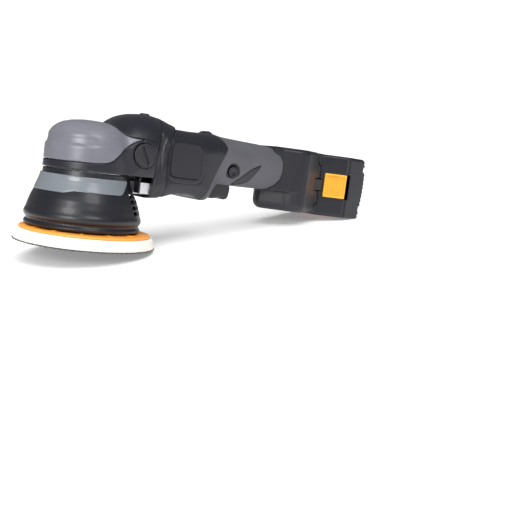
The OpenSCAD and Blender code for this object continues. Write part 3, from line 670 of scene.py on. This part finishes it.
def build_head():
    """Builds the head cover, head shell and hood."""
    c = Clay((-40, -40, 73), (34, 40, 111))
    form = head_form(c)
    cover = smooth_max(shell(form), c.side(softened(COVER_EDGE)) + SEAM, 0.9)
    cover = carve(cover, (c.rod_x(0, 84, 26.2, 15, 60), 0.5))
    model(c, cover, "head_cover_skin", "housing", "cover_grey", "head_cover")
    c = Clay((-40, -40, 51), (56, 40, 99.5))
    form = head_form(c) + 0.12
    low = carve(shell(form), (c.side(softened(COVER_EDGE)) - SEAM, 0.7))
    low = smooth_max(low, before(c, COLLAR_EDGE[:9], 0.3), 0.8)
    low = smooth_max(low, np.maximum(65.3 - c.z, c.z - 99), 0.6)
    low = carve(low, (c.rod_x(0, 84, 26.2, 20, 70), 0.5))
    for side in (-1, 1):
        low = carve(low, (c.rod_y(*PLUG, 11.25, side * 30, side * 50), 0.7))
    lip = np.maximum(c.box((35.8, -32, 50.6), (37.4, 32, 68)), -c.box((30, -20.8, 40), (50, 20.8, 60.4)))
    lip = np.maximum(lip, 42.6 - np.hypot(c.x, c.y))
    low = smooth_min(low, lip, 0.5)
    model(c, low, "head_shell_skin", "housing", "black_plastic", "head_shell")
    c = Clay((6, -38, 99), (64, 38, 124))
    form = head_form(c)
    hood = carve(shell(form), (c.side(softened(COVER_EDGE)) - SEAM, 0.7))
    hood = smooth_max(hood, before(c, COLLAR_EDGE[:9], 0.3), 0.8)
    hood = smooth_max(hood, 99.15 - c.z, 0.4)
    hood = carve(hood, (c.rod_z(*KNOB, 5.0, 90, 140), 0.6))
    model(c, hood, "neck_hood_skin", "housing", "black_plastic", "neck_hood")


def build_collar():
    """Builds the soft collar and the shaft lock knob."""
    c = Clay((43, -38, 44), (93, 38, 124))
    side = [(40, 45.6), (52, 45.8), (66, 47), (74, 49.2), (84, 50.4), (93, 51), (93, 112.8), (84.5, 115),
            (78, 117), (71, 118.9), (65, 120.8), (59, 122.1), (52, 122.8), (40, 122.9)]
    form = round_and(c.side(side), np.abs(c.y) - 36.6, 16 + 16 * fade(c.z, 66, 96))
    ring = shell(form, 4.2, 0.6)
    ring = smooth_max(ring, c.side(softened(COLLAR_EDGE)), 1.6)
    ring = carve(ring, (c.box((30, -31, 40), (48.5, 31, 62)), 0.4), (c.rod_z(*KNOB, 5.0, 90, 140), 0.6))
    line = np.abs(c.side(COLLAR_EDGE) + 5.5) - 0.5
    ring = carve(ring, (np.maximum(line, -(form + 0.45)), 0.4))
    model(c, ring, "collar_skin", "housing", "soft_black", "collar")
    c = Clay((47.5, -5.5, 92.5), (58.5, 5.5, 125), 0.3)
    knob = smooth_min(c.rod_z(*KNOB, 4.6, 117, 124.2, 1.4), c.rod_z(*KNOB, 1.5, 93.2, 118), 0.6)
    knob = smooth_min(knob, c.rod_z(*KNOB, 3.2, 112, 114), 0.4)
    knob = carve(knob, (c.ball(53, 0, 133.4, 9.9), 0.5))
    model(c, knob, "lock_knob", "shaft_lock", "black_plastic", "shaft_lock_button")


def build_plugs():
    """Builds the two side-handle plugs."""
    for side, name in ((-1, "plug_near"), (1, "plug_far")):
        c = side_clay(side, (24, 49), (33, 38.5), (72, 97), 0.4)
        disc = c.rod_y(*PLUG, 11, side * 33.4, side * 37.6, 0.9)
        rim = c.ring_y(*PLUG, 9.4, 0.35)
        disc = carve(disc, (np.maximum(rim, 37.2 - side * c.y), 0.4))
        a = math.radians(26)
        u = (c.x - 36.5) * math.cos(a) + (c.z - 84.5) * math.sin(a)
        v = -(c.x - 36.5) * math.sin(a) + (c.z - 84.5) * math.cos(a)
        slit = round_and(round_and(np.abs(u) - 1.1, np.abs(v) - 9.2, 1.0), 35.9 - side * c.y, 0.3)
        disc = carve(disc, (slit, 0.5))
        model(c, disc, name, "housing", "black_plastic", "side_plugs")


def build_motor_covers():
    """Builds both halves of the motor cover."""
    for side, half in SIDES:
        c = side_clay(side, (61, 138), (0, 36), (47, 117))
        form = body_form(c)
        skin = smooth_max(shell(form), before(c, HANDLE_EDGE), 1.3)
        skin = halved(c, carve(skin, (c.side(COLLAR_EDGE) - 0.3, 0.5)), side)
        plate = outline_distance(BADGE, c.x, c.z)
        skin = carve(skin, (np.maximum(plate, 33.6 - side * c.y), 0.5))
        border = np.abs(plate - 4.5) - 0.4
        swell = np.maximum(border, 64 - c.x)
        skin = carve(
            skin, (np.maximum(swell, -(form + 0.4)), 0.6), (c.box(*DIAL_SLOT), 0.5))
        if side > 0:
            skin = carve(skin, (screw_bores(c, SCREWS[:3]), 0.4))
        name = "motor_cover_" + half
        model(c, skin, name + "_skin", "housing", "soft_black", name)


def build_handle():
    """Builds both halves of the grip and their inlays."""
    for side, half in SIDES:
        c = side_clay(side, (108, 215.5), (0, 34), (47.5, 117))
        form = body_form(c, 0.55 * (1 - fade(c.x, 134, 150)))
        skin = smooth_max(shell(form), before(c, HANDLE_EDGE, way=-1), 0.8)
        skin = halved(c, skin, side)
        skin = carve(
            skin, (c.box((118.4, -12.2, 30), (159.6, 12.2, 73), 1.2), 0.8),
            (c.box(*DIAL_SLOT), 0.5))
        inlay = c.side(spline(INLAY))
        skin = carve(skin, (np.maximum(np.maximum(inlay - 0.25, -form - 1.3), 14 - side * c.y), 0.4))
        if side < 0:
            skin = carve(
                skin, (c.rod_y(*LOCK_ON, 8.9, -60, -25), 0.6), (c.rod_y(*LOCK_ON, 6.15, -60, -10), 0.4))
        else:
            skin = carve(skin, (screw_bores(c, SCREWS[2:6]), 0.4))
        lip = c.box((120, -24 if side < 0 else 11.4, 62.4), (132, -11.4 if side < 0 else 24, 65.4))
        skin = smooth_min(skin, np.maximum(lip, form + 0.5), 0.4)
        skin = smooth_min(skin, c.rod_y(*TRIGGER_PIN, 1.5, 0, side * 12.5, 0.1), 0.1)
        name = "handle_" + half
        model(c, skin, name + "_skin", "housing", "grey_plastic", name)
        c = side_clay(side, (138, 184), (20, 27.5), (66.5, 91), 0.42)
        form = body_form(c)
        blade = smooth_max(c.side(spline(INLAY)), form, 0.7)
        blade = smooth_max(blade, np.maximum(-form - 1.2, 14 - side * c.y), 0.2)
        if side < 0:
            bezel = smooth_max(c.rod_y(*LOCK_ON, 8.7, -27, -25.1), form, 0.6)
            dish = np.sqrt((c.x - 147) ** 2 + (c.z - 79.6) ** 2 + (c.y + 38.2) ** 2 * 0.9) - 13.9
            bezel = carve(bezel, (dish, 0.5), (c.rod_y(*LOCK_ON, 6.15, -60, -10), 0.3))
            blade = np.minimum(blade, bezel)
        name = "inlay_" + half
        model(c, blade, name, "housing", "black_plastic", "handle_inlays")


def build_controls():
    """Builds the trigger and the lock-on button."""
    c = Clay((119, -11.5, 49), (159.5, 11.5, 69), 0.45)
    form = round_and(c.side(spline(TRIGGER_SIDE, 4)), np.abs(c.y) - 11, 3.6)
    hollow = np.maximum(form + 2.3, 52.6 - c.z)
    lever = carve(np.maximum(form, c.z - 68), (hollow, 0.4), (c.rod_y(*TRIGGER_PIN, 1.6, -20, 20), 0.3))
    for x in (128, 132, 136, 140, 144, 148):
        lever = carve(lever, (np.hypot(c.x - x, c.z - 49.0) - 1.2, 0.5))
    model(c, lever, "trigger_skin", "trigger_lever", "black_plastic", "trigger")
    c = Clay((140, -28, 73), (154, -13, 87), 0.35)
    button = c.rod_y(*LOCK_ON, 5.8, -26.8, -21.5, 0.8)
    button = smooth_min(button, c.rod_y(*LOCK_ON, 2.5, -22, -13.5), 0.4)
    button = carve(button, (c.ball(147, -37.4, 79.6, 11.4), 0.5))
    ring = c.ring_y(*LOCK_ON, 4.6, 0.25)
    button = carve(button, (np.maximum(ring, c.y + 26.2), 0.3))
    model(c, button, "lock_on_skin", "lock_on", "black_plastic", "lock_on_button")


def dock_form(c):
    """Battery dock: a lower part with a rounder nose under a wedge."""
    edge = 9 - 4 * fade(c.z, 60, 90)
    low = round_and(c.plan(DOCK_LOW), np.maximum(44 - c.z, c.z - 113), edge)
    low = smooth_max(low, c.z - 67, 2)
    up = round_and(c.plan(DOCK_UP), np.maximum(44 - c.z, c.z - 113), edge)
    up = smooth_max(up, 65.2 - c.z, 1)
    return smooth_max(smooth_min(low, up, 0.01 + 2.5 * fade(c.x, 234, 222)), c.x - 266, 0.8)


def build_dock():
    """Builds both halves of the battery dock."""
    for side, half in SIDES:
        c = side_clay(side, (184, 275), (0, 39), (44, 113.5))
        form = dock_form(c)
        skin = smooth_max(form, -np.maximum(form + WALL, c.x - 263), 0.5)
        grip = body_form(c)
        skin = carve(
            skin, (grip - 0.2, 0.5), (c.box((262, 4, 60), (268, 30, 95)), 0.3),
            (c.box((260, -60, 70.4), (268, -12, 84.6)), 0.4))
        line = np.abs(c.x - 221 + (c.z - 60) * 0.12) - 0.35
        skin = carve(skin, (np.maximum(np.maximum(line, -(form + 0.35)), c.z - 64), 0.4))
        if side > 0:
            skin = carve(skin, (screw_bores(c, SCREWS[5:]), 0.4))
        for z in ((44.4, 51.2, 51.2, 54.7), (103.8, 112.6, 100.3, 103.8)):
            rail = c.box((262, -26, z[0]), (274.6, 38, z[1]), 0.5)
            lip = c.box((270.8, -26, z[2] - 0.3), (274.6, 38, z[3] + 0.3), 0.5)
            skin = smooth_min(skin, smooth_min(rail, lip, 0.3), 0.4)
        skin = halved(c, skin, side)
        name = "dock_" + half
        model(c, skin, name + "_skin", "housing", "soft_black", name)


def pack_form(c):
    block = round_and(c.plan(PACK_PLAN), np.maximum(42.5 - c.z, c.z - 112.5), 3.2)
    return smooth_max(block, c.x - pack_back(c.z), 1.5)


def latch_frame():
    """Start, direction and inward normal of the slanted latch face."""
    o = np.array(LATCH_START)
    d = (np.array(LATCH_END) - o) / math.dist(LATCH_START, LATCH_END)
    return o, d, np.array((-d[1], d[0]))


def latch_space(c):
    o, d, n = latch_frame()
    return (c.x - o[0]) * d[0] + (c.y - o[1]) * d[1], (c.x - o[0]) * n[0] + (c.y - o[1]) * n[1]


def latch_window(c):
    """The opening for the latch through both cases of the pack."""
    return np.maximum(outline_distance(LATCH_WAY, *latch_space(c)), np.abs(c.z - 78) - 13.9)


def pack_back(z):
    """How far back the pack reaches at a height."""
    heights = [point[1] for point in PACK_BACK]
    return np.interp(z, heights, [point[0] for point in PACK_BACK])


def build_pack():
    """Builds both cases of the battery pack."""
    c = Clay((266, -44, 42.5), (303.5, 44, 112.5), STEP * 1.13)
    form = pack_form(c)
    skin = shell(form, PACK_WALL)
    along, into = latch_space(c)
    boss = np.minimum(c.box((266.4, -24, 51.5), (270.4, 37, 103.5)), c.box((270, -24, 55), (277, 37, 100)))
    skin = smooth_min(skin, boss, 0.4)
    skin = smooth_max(skin, c.x - 302.85, 0.6)
    for z in range(64, 93, 7):
        skin = carve(
            skin, (c.box((264, 4, z - 1.2), (276, 40, z + 1.2), 0.2), 0.3),
            (c.box((270.5, 7.6, z - 2.3), (277, 28.4, z + 2.3), 0.2), 0.3))
    skin = carve(
        skin, (c.box((275.9, -8, 57), (280, 36, 99)), 0.4), (c.box((264, -60, 70.5), (281, -13, 84.5)), 0.3),
        (latch_window(c), 0.6), (c.rod_y(*GAUGE, 5.2, 30, 60), 0.4))
    for z in range(82, 98, 5):
        skin = carve(skin, (c.box((284, 40, z - 1), (292, 46, z + 1), 0.2), 0.3))
    skin = carve(
        skin, (c.box(*PACK_PANEL), 0.3),
        (slab((along, into, c.z), (29.2, -2, 40), (30.4, 0.5, 120), 0.2), 0.3))
    model(c, skin, "pack_rail_skin", "battery", "pack_black", "pack_rail_case")
    c = Clay((303, -44, 42.5), (331.2, 44, 112.5), STEP * 1.13)
    form = pack_form(c)
    skin = shell(form, PACK_WALL)
    skin = carve(skin, (latch_window(c), 0.4), (c.x - 303.15, 0.6))
    for z in range(47, 113, 5):
        back = float(pack_back(z))
        skin = carve(skin, (c.box((back - 1.2, -60, z - 1.2), (340, 60, z + 1.2), 0.5), 0.6))
    for z in (54.5, 100.5):
        for y in (-43.5, 43.5):
            skin = carve(skin, (c.box((326.5, y - 6, z - 2.8), (340, y + 6, z + 2.8), 0.8), 0.8))
    skin = carve(skin, (c.box(*PACK_PANEL), 0.3))
    for x in (308, 312, 316, 320, 324):
        skin = carve(skin, (c.box((x - 0.6, 42.7, 52), (x + 0.6, 44.3, 103), 0.4), 0.5))
    for y, z in PACK_SCREWS:
        skin = smooth_min(skin, c.rod_x(y, z, 4.2, 314, 326.2), 0.4)
        skin = carve(skin, (c.rod_x(y, z, 3, 325, 340), 0.4), (c.rod_x(y, z, 1.35, 312, 330), 0.2))
    model(c, skin, "pack_rear_skin", "battery", "pack_black", "pack_rear_case")


def build_latch():
    """Builds the latch with its ribs and the gauge button."""
    c = Clay((262.5, -44, 63.8), (303.5, -22.5, 92.2), 0.4)
    along, into = latch_space(c)
    plate = slab((along, into, c.z), (5.1, -0.6, 64.4), (30.9, 3.0, 91.6), 0.9)
    plate = carve(plate, (slab((along, into, c.z), (7.4, -4, 66.8), (28.6, 1.5, 89.2), 0.9), 0.7))
    model(c, plate, "latch_skin", "latch", "latch_amber", "latch_button")
    o, d, n = latch_frame()
    ribs = [(*(o + d * s + n * 1.5), 78.0) for s in (11.2, 14.6, 18.0, 21.4, 24.8)]
    bars = run_tree(bar_tree(), points_mesh(ribs), {"Size": (1.2 * MM, 2.2 * MM, 21.6 * MM),
                                                    "Turn": (0, 0, math.atan2(d[1], d[0]))},
                    "latch_ribs", "latch_amber")
    rib_obj = add_piece(bars, "latch_ribs", "latch", "latch_amber")
    c = Clay((262, -28, 70), (283, -22, 85), 0.4)
    arm = c.box((262.8, -27, 71), (277, -23.2, 84), 0.5)
    arm = smooth_min(arm, c.box((276, -27, 71), (281.4, -25, 84), 0.3), 0.3)
    model(c, arm, "latch_arm", "latch", "badge_black")
    bevel = rib_obj.modifiers.new("edges", "BEVEL")
    bevel.width, bevel.segments = 0.35 * MM, 2
    c = Clay((282, 40, 60), (294, 44, 72), 0.35)
    gauge = c.rod_y(*GAUGE, 5, 40.6, 43.6, 0.6)
    ring = c.ring_y(*GAUGE, 3.2, 0.25)
    gauge = carve(gauge, (np.maximum(ring, 43.2 - c.y), 0.3))
    model(c, gauge, "gauge_skin", "gauge", "gauge_red", "gauge_button")


SKIRT = [(48.4, 14), (50.6, 13.9), (51.5, 14.8), (51.7, 16.2), (50.6, 17.6), (49.9, 18.8), (50.2, 20.2),
    (51.4, 21.4), (52, 23), (52, 25), (51.5, 26.6), (50.9, 27.8), (50.3, 29.6), (49.4, 33), (48.4, 36),
    (47.3, 39.4), (45.7, 43), (43.4, 47.6), (41.2, 52), (39.8, 56.2), (39.0, 59.4), (38.7, 62), (38.5, 64.5),
    (35.6, 64.5), (35.4, 60), (36.6, 56), (38.4, 51), (40.6, 46), (42.4, 41), (44, 36), (45.6, 31),
    (46.8, 27)]


def build_skirt():
    """Builds the skirt and the band on it."""
    c = Clay((-52.5, -52.5, 13.5), (52.5, 52.5, 65.5), STEP * 1.15)
    skirt = c.lathe(SKIRT)
    turn, radius = c.polar()
    for z in (32, 37, 42, 47):
        for a in range(-50, 56, 14):
            arc = np.abs((turn - a) * radius * math.pi / 180) - 4.9
            slot = round_and(arc, np.abs(c.z - z) - 1.5, 1.2)
            skirt = carve(skirt, (np.maximum(slot, 36 - radius), 0.5))
    skirt = carve(skirt, (c.box((20, -20.6, 48.4), (60, 20.6, 66)), 0.6))
    model(c, skirt, "shroud_skin", "housing", "skirt_black", "shroud")
    c = Clay((-46.5, -46.5, 43.5), (46.5, 46.5, 61.2), 0.5)
    turn, radius = c.polar()
    wall = c.lathe([(37.6, 61), (38.4, 57), (40.4, 51), (43.0, 44), (45.6, 43.5), (44.4, 47.6), (42.6, 52.2),
                    (41.2, 56.3), (40.3, 60.6), (39.6, 61)])
    arc = ((turn + 116 + 180) % 360 - 180) * radius * math.pi / 180
    end = np.maximum(arc - 43.5 + (60 - c.z) * 0.65, -76 - arc)
    low_edge = 45.1 + 2.2 * fade(arc, -20, -8)
    band = round_and(end, np.maximum(low_edge - c.z, c.z - 60.2), 3.2)
    band = smooth_max(wall, band, 0.7)
    for a in (-61, -47, 35):
        oval = np.hypot(arc - a, (c.z - 53) / 1.9) - 1.0
        band = carve(band, (np.maximum(oval, 43.2 - radius + (c.z - 52) * -0.45), 0.5))
    model(c, band, "band_skin", "housing", "band_grey", "shroud_band")


def build_pad():
    """Builds the foam, hook layer and backing plate."""
    p = bpy.context.scene.polisher
    centre, edge = (0.0, -7.5), 62.2
    c = Clay((-62.5, -70, 0.9), (62.5, 55, 11), 0.8)
    foam = c.lathe([(6.8, 1), (edge - 0.3, 1), (edge, 1.8), (edge - 0.1, 4), (edge - 0.9, 7), (edge - 1.8, 9),
                    (edge - 3, 10.2), (edge - 4.4, 10.5), (6.8, 10.5)], centre)
    foam_obj = model(c, smooth_max(foam, 1 - c.z, 0.2), "foam_skin", "pad", "foam_white", "foam_pad")
    c = Clay((-60, -67.5, 10.4), (60, 52.5, 15.7), 0.85)
    plate = c.lathe([(4.1, 10.5), (57.8, 10.5), (58.2, 11.1), (57.9, 12.1), (57.0, 12.7), (50.5, 12.8),
                     (49.5, 12.4), (15.5, 12.9), (15, 15.5), (9, 15.5), (9, 13.5), (4.1, 13.5)], centre)
    turn, radius = c.polar(centre)
    rib = np.abs((turn + 195) % 30 - 15) * radius * math.pi / 180 - 0.9
    rib = np.maximum(np.maximum(rib, c.z - 13.3), np.maximum(16 - radius, radius - 50))
    plate = smooth_min(plate, np.maximum(rib, 11.5 - c.z), 0.5)
    model(c, plate, "plate_skin", "pad", "plate_orange", "backing_plate")
    disc = bpy.data.meshes.new("hook_disc")
    rings, parts = [(6.9, 0.46), (6.9, 1.0), (62.35, 1.0), (62.4, 0.46)], 96
    verts = [(r * math.cos(2 * math.pi * i / parts), r * math.sin(2 * math.pi * i / parts) + centre[1], z)
             for r, z in rings for i in range(parts)]
    faces = []
    for k in range(4):
        for i in range(parts):
            a, b = k * parts + i, k * parts + (i + 1) % parts
            m = ((k + 1) % 4) * parts
            faces.append((a, m + i, m + (i + 1) % parts, b))
    disc.from_pydata([Vector(v) * MM for v in verts], [], faces)
    disc.update()
    hooks = run_tree(hook_tree(), disc, {"Density": p.hook_density * 1e6, "Hook Height": 0.44 * MM},
                     "hook_skin", "hook_grey")
    add_piece(hooks, "hook_skin", "pad", "hook_grey", "hook_face")


def build_springs():
    """Builds the springs that are pressed together."""
    c = Clay((49.5, -3.5, 102.5), (56.5, 3.5, 112.5), 0.3)
    coil = carve(c.rod_z(*KNOB, 2.9, 103.1, 111.6), (c.rod_z(*KNOB, 2.0, 90, 120), 0.3))
    obj = model(c, coil, "lock_spring_skin", "housing", "steel", "shaft_lock_spring")
    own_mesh(obj)
    c = Clay((298.6, -38, 76), (305, -34, 80), 0.25)
    coil = carve(c.rod_x(-36, 78, 1.3, 299.4, 304.6), (c.rod_x(-36, 78, 0.7, 290, 310), 0.2))
    obj = model(c, coil, "latch_spring_skin", "battery", "steel", "latch_spring")
    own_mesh(obj)


def build_screws():
    """Builds the housing and battery screws."""
    tree = screw_tree()
    sets = (
        ("housing_screw_set", "housing", "housing_screws", [(x, 18.5, z) for x, z in SCREWS],
         {"Turn": (-math.pi / 2, 0, 0)}),
        ("pack_screw_set", "battery", "pack_screws", [(326.1, y, z) for y, z in PACK_SCREWS],
         {"Turn": (0, math.pi / 2, 0), "Shank Length": 0.010, "Shank Radius": 0.0013}))
    for name, body, cad_node, spots, values in sets:
        heads = run_tree(tree, points_mesh(spots), values, name, "dark_steel")
        add_piece(heads, name, body, "dark_steel", cad_node)


def make_finishes():
    """Makes every material of the polisher."""
    MATS.update(finishes(bpy.context.scene.polisher))


def finish_nodes():
    """Gives the parts that stay their materials."""
    slots = {s["node"]: s["material_slot"] for s in frame["record"]["subparts"]}
    for name, obj in frame["nodes"].items():
        mat = MATS[slots[name]]
        if obj.material_slots:
            for slot in obj.material_slots:
                slot.material = mat
        else:
            obj.data.materials.append(mat)


# ---- stage ------------------------------------------------------------------------------------
FLOOR_RISE = 0.1639  # of the floor along X
FLOOR_SIZE, FLOOR_GAP = 5, 0.0002  # half of its width, and the room it leaves below the pad, m
PAD_RIM = 0.0625  # where the floor meets the pad, m
CAMERA_AT = (-0.2755, -0.5569, 0.0814)
CAMERA_RIGHT, CAMERA_UP = Vector((0.756, -0.6428, 0.1239)), Vector((-0.0139, 0.1734, 0.9848))
CAMERA_AHEAD = Vector((0.6545, 0.7462, -0.1221))
DISK_LIGHTS = (("front_left", (-0.8, -0.55, 0.36), 0.45, 6), ("front_high", (-0.1, -0.9, 0.95), 0.6, 5))
BACKDROP = 1.1  # strength of the sky as the camera sees it


def place_light(light, at, aim, turned_from):
    """Adds a light at a point, shining from turned_from towards aim."""
    obj = link(light, light.name)
    obj.location = at
    obj.rotation_euler = (Vector(turned_from) - aim).to_track_quat("Z", "Y").to_euler()
    return obj


def build_stage():
    """Builds the floor, lights and camera."""
    scene = bpy.context.scene
    mat = grained("floor_pale", (0.82, 0.82, 0.82), (0.75, 0.85), 0.01, 60, 0.02, Emission_Color=(1, 1, 1, 1),
                  Emission_Strength=0.24)
    mesh = bpy.data.meshes.new("floor")
    corners = [(x * FLOOR_SIZE, y * FLOOR_SIZE) for x, y in ((-1, -1), (1, -1), (1, 1), (-1, 1))]
    mesh.from_pydata([(x, y, FLOOR_RISE * (x - PAD_RIM) - FLOOR_GAP) for x, y in corners], [], [(0, 1, 2, 3)])
    mesh.materials.append(mat)
    link(mesh, "floor")
    world = bpy.data.worlds.new("studio")
    scene.world = world
    world.use_nodes = True
    tree = world.node_tree
    p = scene.polisher
    path = tree.nodes.new("ShaderNodeLightPath")
    mix = node(tree, "ShaderNodeMix", Factor=path.outputs["Is Camera Ray"], A=p.sky_level, B=BACKDROP)
    background = tree.nodes["Background"]
    wire(tree, mix, background.inputs["Strength"])
    wire(tree, (1, 1, 1, 1), background.inputs["Color"])
    sun = bpy.data.lights.new("sky", "SUN")
    sun.energy, sun.angle = 2.9 * p.light_level, math.radians(75)
    place_light(sun, (0, 0, 0), Vector(), (-0.25, -0.1, 1)).visible_glossy = False
    for name, at, size, power in DISK_LIGHTS:
        light = bpy.data.lights.new(name, "AREA")
        light.shape, light.size, light.energy = "DISK", size, power * p.light_level
        place_light(light, at, Vector((0.02, 0.0, 0.07)), at)
    scene.view_settings.view_transform = "Standard"
    cam = bpy.data.cameras.new("camera")
    cam.sensor_width, cam.lens, cam.clip_start = 36, p.lens, 0.01
    turn = Matrix((CAMERA_RIGHT, CAMERA_UP, -CAMERA_AHEAD)).transposed().to_4x4()
    scene.camera = link(cam, "camera")
    scene.camera.matrix_world = Matrix.Translation(CAMERA_AT) @ turn


# ---- add-on -----------------------------------------------------------------------------------
def colour(name, description, default):
    return FloatVectorProperty(name=name, description=description, default=default, size=3, min=0, max=1,
                               subtype="COLOR")


class PolisherSettings(bpy.types.PropertyGroup):
    cover_grey: colour("Head cover", "Colour of the head cover", (0.15, 0.15, 0.178))
    handle_grey: colour("Grip", "Colour of the grip halves", (0.078, 0.078, 0.091))
    black: colour("Black plastic", "Colour of the dark shells", (0.0095, 0.01, 0.0155))
    band_grey: colour("Band", "Colour of the band on the skirt", (0.145, 0.162, 0.18))
    foam_white: colour("Foam", "Colour of the pad's foam", (0.84, 0.81, 0.73))
    plate_orange: colour("Backing plate", "Colour of the backing plate", (0.88, 0.33, 0.05))
    latch_amber: colour("Latch", "Colour of the battery latch", (0.93, 0.42, 0.03))
    hook_density: FloatProperty(name="Hooks", description="Hooks per square millimetre of the pad's face",
                                default=0.33, min=0.1, max=1.0)
    light_level: FloatProperty(name="Light level", description="Strength of the studio lights", default=1.0,
                               min=0.1, max=4)
    sky_level: FloatProperty(name="Sky level", description="Strength of the even light from all around",
                             default=0.25, min=0.0, max=2)
    lens: FloatProperty(name="Lens", description="Focal length of the camera", default=46.6, min=20, max=120,
                        subtype="DISTANCE_CAMERA", unit="CAMERA")


STEPS = [
    ("finishes", "Make Finishes", make_finishes),
    ("head", "Build Head", build_head),
    ("collar", "Build Collar", build_collar),
    ("plugs", "Build Side Plugs", build_plugs),
    ("motor", "Build Motor Covers", build_motor_covers),
    ("grip", "Build Grip", build_handle),
    ("controls", "Build Controls", build_controls),
    ("dock", "Build Dock", build_dock),
    ("pack", "Build Battery Pack", build_pack),
    ("latch", "Build Latch", build_latch),
    ("skirt", "Build Skirt", build_skirt),
    ("pad", "Build Pad", build_pad),
    ("springs", "Build Springs", build_springs),
    ("screws", "Build Screws", build_screws),
    ("nodes", "Finish Inner Parts", finish_nodes),
    ("stage", "Build Stage", build_stage),
]


def make_operator(key, label, action):
    def execute(self, context):
        action()
        return {"FINISHED"}
    return type("POLISHER_OT_" + key, (bpy.types.Operator,), {
        "bl_idname": "polisher." + key, "bl_label": label, "__doc__": action.__doc__, "execute": execute})


OPERATORS = [make_operator(*step) for step in STEPS]


class POLISHER_PT_panel(bpy.types.Panel):
    """Lists the polisher's settings and building steps."""
    bl_idname = "POLISHER_PT_panel"
    bl_label = "Polisher"
    bl_space_type = "VIEW_3D"
    bl_region_type = "UI"
    bl_category = "Polisher"

    def draw(self, context):
        for name in PolisherSettings.__annotations__:
            self.layout.prop(context.scene.polisher, name)
        for operator in OPERATORS:
            self.layout.operator(operator.bl_idname)


CLASSES = [PolisherSettings, *OPERATORS, POLISHER_PT_panel]


def register():
    for cls in CLASSES:
        bpy.utils.register_class(cls)
    bpy.types.Scene.polisher = PointerProperty(type=PolisherSettings)


def unregister():
    del bpy.types.Scene.polisher
    for cls in reversed(CLASSES):
        bpy.utils.unregister_class(cls)


def main():
    register()
    for step in STEPS:
        getattr(bpy.ops.polisher, step[0])()


if __name__ == "__main__":
    main()
